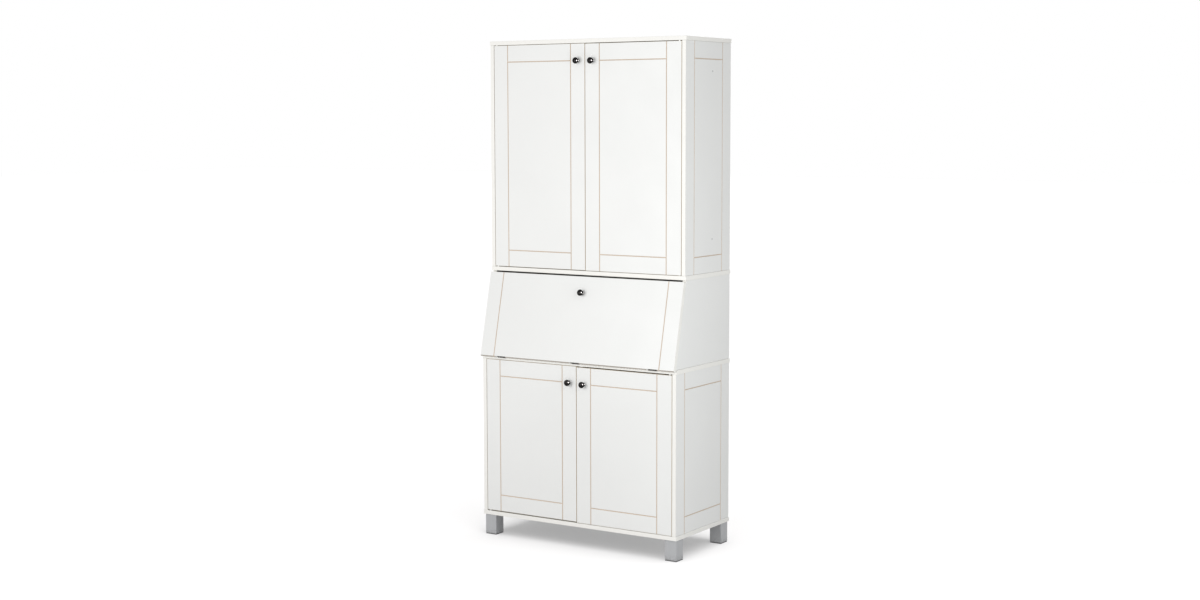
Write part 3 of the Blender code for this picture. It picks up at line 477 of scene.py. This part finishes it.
def edge_band_group():
    """Masks of the band round a board's edges and of the glue line beside it.

    The distance to an end is the least of Position less Low and High less Position. Lying adds a
    metre to it along a direction whose ends have no band, which takes that direction out. Slope is
    the normal of a sloping edge and Offset its place along that normal.
    """
    tree, given, out = new_group(
        "edge_band", ("Low", "High", "Lying", "Slope"), ("Offset", "Width"), ("Band", "Seam"))
    inner = tree.vector("MINIMUM", tree.vector("SUBTRACT", given["Position"], given["Low"]),
                        tree.vector("SUBTRACT", given["High"], given["Position"]))
    parts = tree.add("ShaderNodeSeparateXYZ", {0: tree.vector("ADD", inner, given["Lying"])}).outputs
    along_slope = tree.vector("DOT_PRODUCT", given["Position"], given["Slope"])
    slope = tree.math("SUBTRACT", along_slope, given["Offset"])
    flat = tree.math("MINIMUM", parts[0], parts[1])
    nearest = tree.math("MINIMUM", flat, tree.math("MINIMUM", parts[2], slope))
    share = tree.math("DIVIDE", nearest, given["Width"])
    from_seam = tree.math("ABSOLUTE", tree.math("SUBTRACT", share, 1.0))
    tree.give(out["Band"], tree.step(share, 1.04, 0.96))
    tree.give(out["Seam"], tree.step(from_seam, 0.16, 0.04))


def routed_groove_group():
    """Mask of the bare grooves on a panel's face.

    Across and up are measured from the face's Centre. An upright groove lies where the distance
    from the middle is within half a Width of Half Across, a level one where it is so of Half Up
    and between the uprights. Nothing below Depth counts, and Levels is 0 without level grooves.
    """
    tree, given, out = new_group(
        "routed_groove", ("Centre", "Across", "Inward"),
        ("Half Across", "Half Up", "Width", "Depth", "Levels"), ("Mask",))
    place = tree.vector("SUBTRACT", given["Position"], given["Centre"])
    across = tree.math("ABSOLUTE", tree.vector("DOT_PRODUCT", place, given["Across"]))
    up = tree.math("ABSOLUTE", tree.vector("DOT_PRODUCT", place, ALONG_Z))
    below = tree.vector("DOT_PRODUCT", place, given["Inward"])
    half = tree.math("MULTIPLY", given["Width"], 0.5)
    edge = tree.math("MULTIPLY", given["Width"], 0.53)
    upright = tree.math("ABSOLUTE", tree.math("SUBTRACT", across, given["Half Across"]))
    level = tree.math("ABSOLUTE", tree.math("SUBTRACT", up, given["Half Up"]))
    between = tree.math("LESS_THAN", across, tree.math("ADD", given["Half Across"], half))
    in_upright = tree.step(upright, edge, half)
    in_level = tree.math("MULTIPLY", tree.step(level, edge, half), between)
    cut = tree.math("MAXIMUM", in_upright, tree.math("MULTIPLY", in_level, given["Levels"]))
    shallow = tree.math("LESS_THAN", below, given["Depth"])
    tree.give(out["Mask"], tree.math("MULTIPLY", cut, shallow))


def coating_group():
    """Pearl of a pressed white coating: a fine height, a slow change of tone and one of gloss."""
    tree, given, out = new_group("coating", (), ("Pearl",), ("Height", "Tone", "Gloss"))
    scale = tree.math("DIVIDE", 1.0, given["Pearl"])
    fine = tree.noise(given["Position"], scale, 2.0, 0.6)
    long_wave = tree.noise(given["Position"], 34.0, 2.0)
    tree.give(out["Height"], tree.math("ADD", fine, tree.math("MULTIPLY", long_wave, 0.9)))
    cloud = tree.noise(given["Position"], 2.6, 3.0)
    tone = tree.math("ADD", cloud, tree.math("MULTIPLY", fine, 0.12))
    tree.give(out["Tone"], tree.step(tone, 0.30, 0.80, 0.978, 1.006))
    patches = tree.noise(given["Position"], 7.5, 4.0)
    tree.give(out["Gloss"], tree.step(patches, 0.30, 0.70, -0.045, 0.045))


def brushed_group():
    """Brush lines: noise stretched along one direction, as a height, a tone and a gloss."""
    tree, given, out = new_group("brushed", ("Stretch",), ("Line",), ("Height", "Tone", "Gloss"))
    drawn = tree.vector("MULTIPLY", given["Position"], given["Stretch"])
    lines = tree.noise(drawn, tree.math("DIVIDE", 1.0, given["Line"]), 3.0, 0.6)
    tree.give(out["Height"], lines)
    tree.give(out["Tone"], tree.step(lines, 0.25, 0.75, 0.93, 1.04))
    patches = tree.noise(given["Position"], 60.0, 3.0)
    tree.give(out["Gloss"], tree.step(patches, 0.3, 0.7, -0.05, 0.05))


def smudge_group():
    """Film that fingers leave: broad soft patches broken up by finer ones."""
    tree, given, out = new_group("smudge", (), ("Size",), ("Mask", "Gloss"))
    scale = tree.math("DIVIDE", 1.0, given["Size"])
    broad = tree.noise(given["Position"], scale, 2.0)
    fine = tree.noise(given["Position"], tree.math("MULTIPLY", scale, 7.0), 3.0)
    patch = tree.step(tree.math("ADD", broad, tree.math("MULTIPLY", fine, 0.25)), 0.52, 0.78)
    tree.give(out["Mask"], patch)
    tree.give(out["Gloss"], tree.math("MULTIPLY", patch, 0.06))


def new_material(name):
    """Material with its tree, its shader and the row-frame position of a point."""
    material = bpy.data.materials.new(name)
    material.use_nodes = True
    tree = Tree(material.node_tree)
    position = tree.add("ShaderNodeTexCoord").outputs["Object"]
    return material, tree, material.node_tree.nodes["Principled BSDF"], position


def finish(tree, shader, colour, roughness, height, relief, metallic=0.0, specular=0.5):
    """Links a varying colour, roughness and fine height, and sets the shader's plain sockets."""
    inputs = {"Height": height, "Strength": BUMP_STRENGTH, "Distance": relief}
    bump = tree.add("ShaderNodeBump", inputs).outputs[0]
    inputs = {"Base Color": colour, "Roughness": roughness, "Normal": bump,
              "Metallic": metallic, "Specular IOR Level": specular}
    for key, value in inputs.items():
        tree.give(shader.inputs[key], value)


def points_of(node, turn=None):
    """Lowest and highest corner of a node, in the row frame or turned into another."""
    vertices = frame["nodes"][node].data.vertices
    points = np.empty(3 * len(vertices), np.float32)
    vertices.foreach_get("co", points)
    points = points.reshape(-1, 3).astype(float)
    if turn is not None:
        turn = np.array(turn)
        points = points @ turn[:3, :3].T + turn[:3, 3]
    return points.min(0), points.max(0)


def dress(node, material):
    """Gives a CAD node a material of its own."""
    slots = frame["nodes"][node].data.materials
    slots.clear()
    slots.append(material)


def board_material(node, lying, look, turn=None, groove=None, slope=NO_SLOPE, edge=None, bare=None):
    """Coated board with an edge band.

    lying is the direction of its thickness and turn the board's own frame, if it leans. groove is
    (across, inward, levels) for a panel with routed grooves, slope the plane of a sloping edge,
    edge the band's colour if it isn't white, and bare the plane of a bevel that is left uncoated,
    which is coloured dark as partly painted shade under the flap.
    """
    material, tree, shader, position = new_material("coated_" + node)
    low, high = points_of(node, turn)
    if turn is not None:
        inputs = {"Vector": position, "Location": turn.to_translation(), "Rotation": turn.to_euler()}
        position = tree.add("ShaderNodeMapping", inputs).outputs[0]
    ends = {"Low": low, "High": high, "Width": look.band_width}
    faces = {"Lying": np.eye(3)[lying], "Slope": slope[0], "Offset": slope[1]}
    band = tree.use("edge_band", position, {**ends, **faces})
    coat = tree.use("coating", position, {"Pearl": look.pearl})
    colour = tree.mix(band["Band"], look.face, edge or look.band)
    colour = tree.mix(tree.math("MULTIPLY", band["Seam"], 0.5), colour, look.seam)
    roughness = tree.math("ADD", coat["Gloss"], tree.step(band["Band"], 0.0, 1.0, 0.36, 0.44))
    # The bevel takes the dark flap foot colour: partly a bare edge, partly painted shade of the line
    # under the flap.
    if bare is not None:
        bevel = {"Lying": np.ones(3), "Slope": bare[0], "Offset": bare[1]}
        foot = tree.use("edge_band", position, {**ends, **bevel})
        colour = tree.mix(foot["Band"], colour, look.foot)
    if groove is not None:
        across, inward, levels = np.eye(3)[groove[0]], np.array(groove[1], float), groove[2]
        size = high - low
        centre = (low + high) / 2.0 - inward * (size @ np.abs(inward)) / 2.0
        half_across = size @ across / 2.0 - look.groove_margin
        half_up = size[2] / 2.0 - look.groove_margin
        routed = tree.use("routed_groove", position, {
            "Centre": centre, "Across": across, "Inward": inward, "Half Across": half_across,
            "Half Up": half_up, "Width": look.groove_width, "Depth": look.groove_depth,
            "Levels": float(levels)})
        grain = tree.step(tree.noise(position, 900.0, 3.0), 0.25, 0.75, 0.86, 1.06)
        colour = tree.mix(routed["Mask"], colour, tree.shaded(look.groove, grain))
        roughness = tree.math("ADD", roughness, tree.math("MULTIPLY", routed["Mask"], 0.3))
    colour = tree.shaded(colour, coat["Tone"])
    finish(tree, shader, colour, roughness, coat["Height"], COAT_RELIEF, specular=0.42)
    dress(node, material)


def metal_material(name, colour, second, stretch, line, roughness, spots=90.0):
    """Brushed or plated metal with duller patches, finer as spots grows."""
    material, tree, shader, position = new_material(name)
    brushed = tree.use("brushed", position, {"Stretch": stretch, "Line": line})
    patches = tree.step(tree.noise(position, spots, 3.0), 0.42, 0.66)
    shade = tree.shaded(tree.mix(patches, colour, second), brushed["Tone"])
    dull = tree.step(patches, 0.0, 1.0, roughness, roughness + 0.10)
    rough = tree.math("ADD", brushed["Gloss"], dull)
    finish(tree, shader, shade, rough, brushed["Height"], METAL_RELIEF, metallic=1.0)
    return material


def plastic_material(name, colour, roughness):
    """Moulded plastic with a fine spark-eroded grain."""
    material, tree, shader, position = new_material(name)
    coat = tree.use("coating", position, {"Pearl": PLASTIC_PEARL})
    rough = tree.math("ADD", coat["Gloss"], roughness)
    colour = tree.shaded(colour, coat["Tone"])
    finish(tree, shader, colour, rough, coat["Height"], PLASTIC_RELIEF)
    return material


def steel_material(metals):
    """Zinc plating, made once."""
    made = bpy.data.materials.get("zinc_plate")
    return made or metal_material(
        "zinc_plate", metals.steel, metals.spangle, EVEN, 0.0016, 0.30, 420.0)


# Pieces

class SECRETARY_OT_effects(bpy.types.Operator):
    """Make the shared shader effects"""

    bl_idname = "secretary.effects"
    bl_label = "Shared effects"

    def execute(self, context):
        for make in (edge_band_group, routed_groove_group, coating_group, brushed_group, smudge_group):
            make()
        return {"FINISHED"}


class SECRETARY_OT_plain_boards(bpy.types.Operator):
    """Coat the plain boards, shelves and dividers"""

    bl_idname = "secretary.plain_boards"
    bl_label = "Plain boards"

    def execute(self, context):
        look = context.scene.secretary_boards
        for node in frame["nodes"]:
            if node.endswith("_board") or "_shelf" in node:
                board_material(node, 2, look)
            elif node.endswith("_divider"):
                board_material(node, 0, look)
        slope = Vector((0.0, math.cos(FLAP_LEAN), -math.sin(FLAP_LEAN)))
        for side in SIDES:
            node = f"desk_{side}_side"
            low, _ = points_of(node)
            foot = Vector((0.0, low[1], low[2]))
            board_material(node, 0, look, slope=(slope, slope.dot(foot)))
        return {"FINISHED"}


class SECRETARY_OT_grooved_panels(bpy.types.Operator):
    """Coat the grooved doors and sides and the flap"""

    bl_idname = "secretary.grooved_panels"
    bl_label = "Grooved doors, sides and flap"

    def execute(self, context):
        look = context.scene.secretary_boards
        for unit in UNITS:
            for side, inward in zip(SIDES, (1.0, -1.0)):
                # The doors' edges take the lightened edge colour, which paints light into their seams.
                board_material(f"{unit}_{side}_door", 1, look, groove=(0, ALONG_Y, True),
                               edge=look.door_edge_and_seam_light)
                board_material(f"{unit}_{side}_side", 0, look,
                               groove=(1, (inward, 0.0, 0.0), True))
        low, _ = points_of("flap", TO_FLAP)
        slope = Vector((0.0, 1.0, 1.0)).normalized()
        foot = Vector((0.0, low[1], low[2] + look.foot_bevel))
        board_material("flap", 1, look, turn=TO_FLAP, groove=(0, ALONG_Y, False),
                       bare=(slope, slope.dot(foot)))
        return {"FINISHED"}


class SECRETARY_OT_back_panels(bpy.types.Operator):
    """Give the back panels a white hardboard face with its fibres"""

    bl_idname = "secretary.back_panels"
    bl_label = "Back panels"

    def execute(self, context):
        look = context.scene.secretary_boards
        material, tree, shader, position = new_material("painted_hardboard")
        drawn = tree.vector("MULTIPLY", position, (1.0, 1.0, 0.35))
        fibres = tree.noise(drawn, 1400.0, 4.0, 0.65)
        flecks = tree.step(tree.noise(position, 620.0, 3.0), 0.66, 0.76)
        coat = tree.use("coating", position, {"Pearl": FIBRE_PEARL})
        colour = tree.mix(tree.math("MULTIPLY", flecks, 0.22), look.hardboard, look.fibre)
        tone = tree.math("MULTIPLY", coat["Tone"], tree.step(fibres, 0.25, 0.75, 0.96, 1.02))
        roughness = tree.math("ADD", coat["Gloss"], tree.step(fibres, 0.2, 0.8, 0.50, 0.62))
        finish(tree, shader, tree.shaded(colour, tone), roughness, fibres, FIBRE_RELIEF)
        for node in frame["nodes"]:
            if node.endswith("_back_panel"):
                dress(node, material)
        return {"FINISHED"}


class SECRETARY_OT_knobs(bpy.types.Operator):
    """Turn the five polished knobs"""

    bl_idname = "secretary.knobs"
    bl_label = "Knobs"

    def execute(self, context):
        metals = context.scene.secretary_metals
        # Near-black metal: the darkness is a painted dark reflection, standing in for the dark
        # surroundings that polished knobs mirror.
        material, tree, shader, position = new_material("black_nickel")
        film = tree.use("smudge", position, {"Size": 0.011})
        brushed = tree.use("brushed", position, {"Stretch": EVEN, "Line": 0.0009})
        colour = tree.mix(film["Mask"], metals.nickel, metals.handled)
        polish = tree.step(brushed["Gloss"], -0.05, 0.05, 0.07, 0.12)
        roughness = tree.math("ADD", film["Gloss"], polish)
        finish(tree, shader, colour, roughness, brushed["Height"], POLISH_RELIEF, metallic=1.0)
        for unit in UNITS:
            for side in SIDES:
                door = f"{unit}_{side}_door"
                self.add(door + "_knob", door + "_body", Matrix.Identity(4), material)
        self.add("flap_knob", "flap_body", TO_FLAP, material)
        return {"FINISHED"}

    def add(self, node, body, turn, material):
        """Fine turned knob in place of a CAD knob, whose size and place it takes."""
        low, high = points_of(node, turn)
        middle = (low + high) / 2.0
        foot = turn.inverted() @ Vector((middle[0], high[1], middle[2]))
        back = turn.inverted().to_3x3()
        shape = knob_shape((high[0] - low[0]) / 2.0, high[1] - low[1])
        shape = placed(shape, foot, back @ -Vector(ALONG_Y), back @ Vector(ALONG_X))
        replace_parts(add_piece("turned_" + node, [shape], material, body), node)


class SECRETARY_OT_legs(bpy.types.Operator):
    """Lacquer the legs and colour their glides"""

    bl_idname = "secretary.legs"
    bl_label = "Legs and glides"

    def execute(self, context):
        metals = context.scene.secretary_metals
        material, tree, shader, position = new_material("silver_lacquer")
        upright = (1.0, 1.0, 0.02)
        brushed = tree.use("brushed", position, {"Stretch": upright, "Line": metals.brush})
        height = tree.add("ShaderNodeSeparateXYZ", {0: position}).outputs[2]
        patches = tree.step(tree.noise(position, 130.0, 4.0), 0.40, 0.62)
        # Darker and duller in patches over the lowest 3 cm of the legs, towards the floor.
        darkened = tree.math("MULTIPLY", tree.step(height, 0.030, 0.005), patches)
        colour = tree.mix(tree.math("MULTIPLY", darkened, 0.6), metals.silver, metals.silver_darkened)
        colour = tree.shaded(colour, brushed["Tone"])
        dull = tree.step(darkened, 0.0, 1.0, 0.40, 0.52)
        roughness = tree.math("ADD", brushed["Gloss"], dull)
        finish(tree, shader, colour, roughness, brushed["Height"], METAL_RELIEF, metallic=0.25)
        glide = plastic_material("dark_moulding", metals.glide, 0.5)
        for end in ("front", "back"):
            for side in SIDES:
                dress(f"{end}_{side}_leg", material)
                dress(f"{end}_{side}_glide", glide)
        return {"FINISHED"}


class SECRETARY_OT_flap_fittings(bpy.types.Operator):
    """Finish the flap's hinges and stays and drive in their screws"""

    bl_idname = "secretary.flap_fittings"
    bl_label = "Flap hinges and stays"

    def execute(self, context):
        metals, sizes = context.scene.secretary_metals, context.scene.secretary_fittings
        # Hinges and their screws are near black: a browned finish together with painted shade of the
        # knuckles under the flap.
        dark = tuple(0.7 * part for part in metals.browned_and_shaded)
        browned_and_shaded = metal_material(
            "browned_steel", metals.browned_and_shaded, dark, (0.04, 1.0, 1.0), metals.brush, 0.34)
        stay = metal_material(
            "drawn_steel", metals.steel, metals.spangle, (1.0, 0.05, 0.05), metals.brush, 0.27)
        steel = steel_material(metals)
        head = screw_shape(sizes.screw_radius, sizes.screw_rise)
        back = TO_FLAP.inverted()
        inward = back.to_3x3() @ Vector(ALONG_Y)
        holes = ((-1.0, sizes.hinge_outer), (1.0, sizes.hinge_outer), (0.0, sizes.hinge_middle))
        desk_screws, flap_screws, bracket_screws = [], [], []
        for place in ("left", "middle", "right"):
            dress(f"{place}_hinge_desk_leaf", browned_and_shaded)
            dress(f"{place}_hinge_flap_leaf", browned_and_shaded)
            low, high = points_of(f"{place}_hinge_desk_leaf")
            middle = (low[0] + high[0]) / 2.0
            for across, along in holes:
                spot = (middle + across * sizes.hinge_spread, high[1] - along, high[2])
                desk_screws.append(placed(head, spot, ALONG_Z, (1.0, across, 0.0)))
            low, high = points_of(f"{place}_hinge_flap_leaf", TO_FLAP)
            for across, along in holes:
                spot = back @ Vector((middle + across * sizes.hinge_spread, high[1], high[2] - along))
                flap_screws.append(placed(head, spot, inward, (1.0, 0.0, across)))
        for side, sign in zip(SIDES, (1.0, -1.0)):
            dress(f"{side}_stay_bar", stay)
            dress(f"{side}_stay_bracket", steel)
            dress(f"{side}_stay_stud", steel)
            low, high = points_of(f"{side}_stay_bracket", TO_FLAP)
            across = (high[0] if sign > 0.0 else low[0]) - sign * sizes.bracket_edge
            for lift in (-sizes.bracket_spread, sizes.bracket_spread):
                level = (low[2] + high[2]) / 2.0 + lift
                spot = back @ Vector((across, low[1] + sizes.bracket_base, level))
                bracket_screws.append(placed(head, spot, inward, (1.0, 0.0, lift)))
        add_piece("hinge_screws_desk", desk_screws, browned_and_shaded, "carcass")
        add_piece("hinge_screws_flap", flap_screws, browned_and_shaded, "flap_body")
        add_piece("bracket_screws", bracket_screws, steel, "flap_body")
        return {"FINISHED"}


class SECRETARY_OT_door_fittings(bpy.types.Operator):
    """Finish the doors' pivots and catches, and add their strikes, poles and screws"""

    bl_idname = "secretary.door_fittings"
    bl_label = "Door pivots and catches"

    def execute(self, context):
        metals, sizes = context.scene.secretary_metals, context.scene.secretary_fittings
        steel = steel_material(metals)
        white = plastic_material("white_moulding", metals.plastic, 0.38)
        outline = rounded_oblong(sizes.strike_length, sizes.strike_height, 48)
        strike = plate_shape(outline, sizes.strike_thickness, 0.10)
        outline = rounded_oblong(0.8 * sizes.strike_length, sizes.pole_height, 40)
        pole = plate_shape(outline, sizes.pole_thickness, 0.12)
        head = screw_shape(0.8 * sizes.screw_radius, 0.8 * sizes.screw_rise)
        poles, screws = [], []
        for unit in UNITS:
            dress(f"{unit}_catch", white)
            low, high = points_of(f"{unit}_catch")
            _, middle, level = (low + high) / 2.0
            for side, sign in zip(SIDES, (-1.0, 1.0)):
                for end in ("top", "bottom"):
                    dress(f"{unit}_{side}_{end}_pivot_pin", steel)
                door = f"{unit}_{side}_door"
                across, back = sign * sizes.strike_place, points_of(door)[1][1]
                plate = placed(strike, (across, back, level), ALONG_Y, ALONG_X)
                face = (across, back + sizes.strike_thickness, level)
                shapes = [plate, placed(head, face, ALONG_Y, (1.0, 0.0, sign))]
                add_piece(f"{unit}_{side}_strike", shapes, steel, door + "_body")
                for lift in (-sizes.pole_lift, sizes.pole_lift):
                    spot = (across, low[1], level + lift)
                    poles.append(placed(pole, spot, (0.0, -1.0, 0.0), ALONG_X))
                spot = (sign * sizes.catch_screw, middle, high[2] - sizes.catch_flange)
                screws.append(placed(head, spot, (0.0, 0.0, -1.0), (1.0, sign, 0.0)))
        add_piece("catch_poles", poles, steel, "carcass")
        add_piece("catch_screws", screws, steel, "carcass")
        return {"FINISHED"}


class SECRETARY_OT_shelf_pins(bpy.types.Operator):
    """Put the pins under the loose shelves"""

    bl_idname = "secretary.shelf_pins"
    bl_label = "Shelf pins"

    def execute(self, context):
        sizes = context.scene.secretary_fittings
        pin = pin_shape(sizes.pin_radius, sizes.pin_length, sizes.pin_root)
        pins = []
        for node in ("lower_shelf", "upper_shelf_1", "upper_shelf_2"):
            unit = node.split("_")[0]
            low, high = points_of(node)
            level = low[2] - sizes.pin_radius - sizes.pin_play
            for side, inward in zip(SIDES, (1.0, -1.0)):
                wall = points_of(f"{unit}_{side}_side")[1 if inward > 0.0 else 0][0]
                for depth in (low[1] + sizes.pin_inset, high[1] - sizes.pin_inset):
                    pins.append(placed(pin, (wall, depth, level), (inward, 0.0, 0.0)))
        steel = steel_material(context.scene.secretary_metals)
        add_piece("shelf_pins", pins, steel, "carcass")
        return {"FINISHED"}


class SECRETARY_OT_cover_caps(bpy.types.Operator):
    """Press caps over the fixing screws of the bookcase sides"""

    bl_idname = "secretary.cover_caps"
    bl_label = "Cover caps"

    def execute(self, context):
        sizes = context.scene.secretary_fittings
        cap = cap_shape(sizes.cap_radius, sizes.cap_rise)
        caps = []
        for side, outward in zip(SIDES, (-1.0, 1.0)):
            low, high = points_of(f"upper_{side}_side")
            wall = low[0] if outward < 0.0 else high[0]
            depth = low[1] + sizes.cap_depth * (high[1] - low[1])
            for level in (low[2] + sizes.cap_above, high[2] - sizes.cap_below):
                caps.append(placed(cap, (wall, depth, level), (outward, 0.0, 0.0)))
        grey = plastic_material("grey_moulding", context.scene.secretary_metals.cap, 0.38)
        add_piece("cover_caps", caps, grey, "carcass")
        return {"FINISHED"}


class SECRETARY_OT_stage(bpy.types.Operator):
    """Set the camera, the lamps, the room and the floor"""

    bl_idname = "secretary.stage"
    bl_label = "Studio"

    def execute(self, context):
        stage = context.scene.secretary_stage
        context.scene.view_settings.view_transform = "Standard"
        self.set_camera(context.scene, stage)
        self.light_room(context.scene, stage)
        self.hang_lamps(context.scene, stage, self.lay_floor(context.scene, stage))
        return {"FINISHED"}

    def set_camera(self, scene, stage):
        """Camera at the photograph's place; its turn is built from where it looks, then rolled."""
        turn, dip = stage.azimuth, stage.pitch
        level = math.cos(dip)
        ahead = Vector((-math.sin(turn) * level, math.cos(turn) * level, -math.sin(dip)))
        right = Vector((math.cos(turn), math.sin(turn), 0.0))
        look = Matrix((right, right.cross(ahead), -ahead)).transposed().to_4x4()
        roll = Matrix.Rotation(stage.roll, 4, "Z")
        camera = bpy.data.objects.new("camera", bpy.data.cameras.new("camera"))
        camera.data.sensor_fit = "HORIZONTAL"
        camera.data.sensor_width = stage.sensor
        camera.data.lens = stage.lens
        camera.matrix_world = Matrix.Translation(stage.eye) @ look @ roll
        scene.collection.objects.link(camera)
        scene.camera = camera

    def show(self, tree, output, lit, shown):
        """Shader shown to the camera, in reflections and through clear pieces; lit lights the rest."""
        path = tree.add("ShaderNodeLightPath").outputs
        seen = tree.math("MAXIMUM", path["Is Camera Ray"], path["Is Glossy Ray"])
        seen = tree.math("MAXIMUM", seen, path["Is Transmission Ray"])
        inputs = {0: seen, 1: lit.outputs[0], 2: shown.outputs[0]}
        mix = tree.add("ShaderNodeMixShader", inputs)
        tree.give(tree.tree.nodes[output].inputs["Surface"], mix.outputs[0])

    def light_room(self, scene, stage):
        """White room where it is seen, and an even dimmer one where it lights the object."""
        world = bpy.data.worlds.new("white_room")
        world.use_nodes = True
        tree = Tree(world.node_tree)
        shown = tree.add("ShaderNodeBackground", {"Color": WHITE, "Strength": 1.0})
        lit = tree.add("ShaderNodeBackground", {"Color": WHITE, "Strength": stage.room})
        self.show(tree, "World Output", lit, shown)
        scene.world = world

    def hang_lamps(self, scene, stage, floor):
        """Softboxes for the object, a card that the knobs mirror, and an overhead lamp for the floor.

        Only the low pieces, the doors and the flap shade the overhead lamp, so that the floor keeps a
        soft footprint of the object and of what is opened.
        """
        self.hang(scene, "overhead", stage.overhead, (2.00, -2.00, 8.00), [floor], "INCLUDE",
                  kind="SUN", angle=stage.overhead_spread)
        self.hang(scene, "left_softbox", stage.left_box, (-0.90, -3.50, 1.55), [floor], "EXCLUDE",
                  size=2.4)
        self.hang(scene, "right_softbox", stage.right_box, (1.50, -0.75, 1.13), [floor], "EXCLUDE",
                  color=stage.cool, shape="RECTANGLE", size=0.8, size_y=2.2)
        self.hang(scene, "back_softbox", stage.back_box, (0.0, 3.00, 3.00), [floor], "EXCLUDE",
                  size=2.0)
        knobs = [piece for piece in scene.objects if piece.name.startswith("turned_")]
        self.hang(scene, "knob_card", stage.card, (2.80, -2.20, 1.90), knobs, "INCLUDE", size=2.0)
        shading = ("_leg", "_glide", "lower_bottom_board", "_door", "flap")
        low = [piece for node, piece in frame["nodes"].items() if node.endswith(shading)]
        linking = scene.objects["overhead"].light_linking
        linking.blocker_collection = self.linked("shading_overhead", low, "INCLUDE")

    def hang(self, scene, name, power, spot, pieces, state, kind="AREA", **form):
        """Lamp aimed at the object, whose light takes in only some pieces or leaves them out."""
        lamp = bpy.data.lights.new(name, kind)
        lamp.energy = power
        for key, value in form.items():
            setattr(lamp, key, value)
        hung = bpy.data.objects.new(name, lamp)
        aim = Vector(spot) - Vector((0.0, 0.0, 0.0 if kind == "SUN" else LAMP_AIM))
        turn = aim.to_track_quat("Z", "Y").to_matrix().to_4x4()
        hung.matrix_world = Matrix.Translation(spot) @ turn
        scene.collection.objects.link(hung)
        hung.light_linking.receiver_collection = self.linked("reached_by_" + name, pieces, state)

    def linked(self, name, pieces, state):
        """Collection that a lamp's light linking reads, with each piece taken in or left out."""
        group = bpy.data.collections.new(name)
        for place, piece in enumerate(pieces):
            group.objects.link(piece)
            group.collection_objects[place].light_linking.link_state = state
        return group

    def lay_floor(self, scene, stage):
        """Wide pale floor just under the glides, which takes the object's shadow."""
        mesh = bpy.data.meshes.new("floor")
        corners = np.full((4, 3), -FLOOR_DROP)
        corners[:, :2] = FLOOR_HALF * np.array([(-1.0, -1.0), (1.0, -1.0), (1.0, 1.0), (-1.0, 1.0)])
        mesh.from_pydata(corners.tolist(), [], [(0, 1, 2, 3)])
        material = bpy.data.materials.new("pale_floor")
        material.use_nodes = True
        tree = Tree(material.node_tree)
        material.node_tree.nodes.remove(material.node_tree.nodes["Principled BSDF"])
        lit = tree.add("ShaderNodeBsdfDiffuse", {"Color": stage.bounce})
        shown = tree.add("ShaderNodeBsdfDiffuse", {"Color": stage.floor})
        glow = tree.add("ShaderNodeEmission", {"Color": WHITE, "Strength": stage.glow})
        bright = tree.add("ShaderNodeAddShader", {0: shown.outputs[0], 1: glow.outputs[0]})
        self.show(tree, "Material Output", lit, bright)
        mesh.materials.append(material)
        floor = bpy.data.objects.new("floor", mesh)
        scene.collection.objects.link(floor)
        return floor


class SECRETARY_PT_panel(bpy.types.Panel):
    """Sizes, colours and steps of the secretary"""

    bl_idname = "SECRETARY_PT_panel"
    bl_label = "Secretary"
    bl_space_type = "VIEW_3D"
    bl_region_type = "UI"
    bl_category = "Secretary"

    def draw(self, context):
        for step in STEPS:
            self.layout.operator(step.bl_idname)
        for name in SETTINGS:
            group = getattr(context.scene, name)
            box = self.layout.box()
            for key in group.__annotations__:
                box.prop(group, key)


SETTINGS = {
    "secretary_boards": SecretaryBoards,
    "secretary_metals": SecretaryMetals,
    "secretary_fittings": SecretaryFittings,
    "secretary_stage": SecretaryStage,
}
STEPS = (
    SECRETARY_OT_effects,
    SECRETARY_OT_plain_boards,
    SECRETARY_OT_grooved_panels,
    SECRETARY_OT_back_panels,
    SECRETARY_OT_knobs,
    SECRETARY_OT_legs,
    SECRETARY_OT_flap_fittings,
    SECRETARY_OT_door_fittings,
    SECRETARY_OT_shelf_pins,
    SECRETARY_OT_cover_caps,
    SECRETARY_OT_stage,
)


def register():
    """Registers the classes and puts the settings on the scene."""
    for name, group in SETTINGS.items():
        bpy.utils.register_class(group)
        setattr(bpy.types.Scene, name, bpy.props.PointerProperty(type=group))
    for kind in (*STEPS, SECRETARY_PT_panel):
        bpy.utils.register_class(kind)


def unregister():
    """Takes the classes and the settings away again."""
    for kind in reversed((*STEPS, SECRETARY_PT_panel)):
        bpy.utils.unregister_class(kind)
    for name, group in SETTINGS.items():
        delattr(bpy.types.Scene, name)
        bpy.utils.unregister_class(group)


def main():
    """Runs each step in order."""
    register()
    for step in STEPS:
        space, name = step.bl_idname.split(".")
        getattr(getattr(bpy.ops, space), name)()


if __name__ == "__main__":
    main()
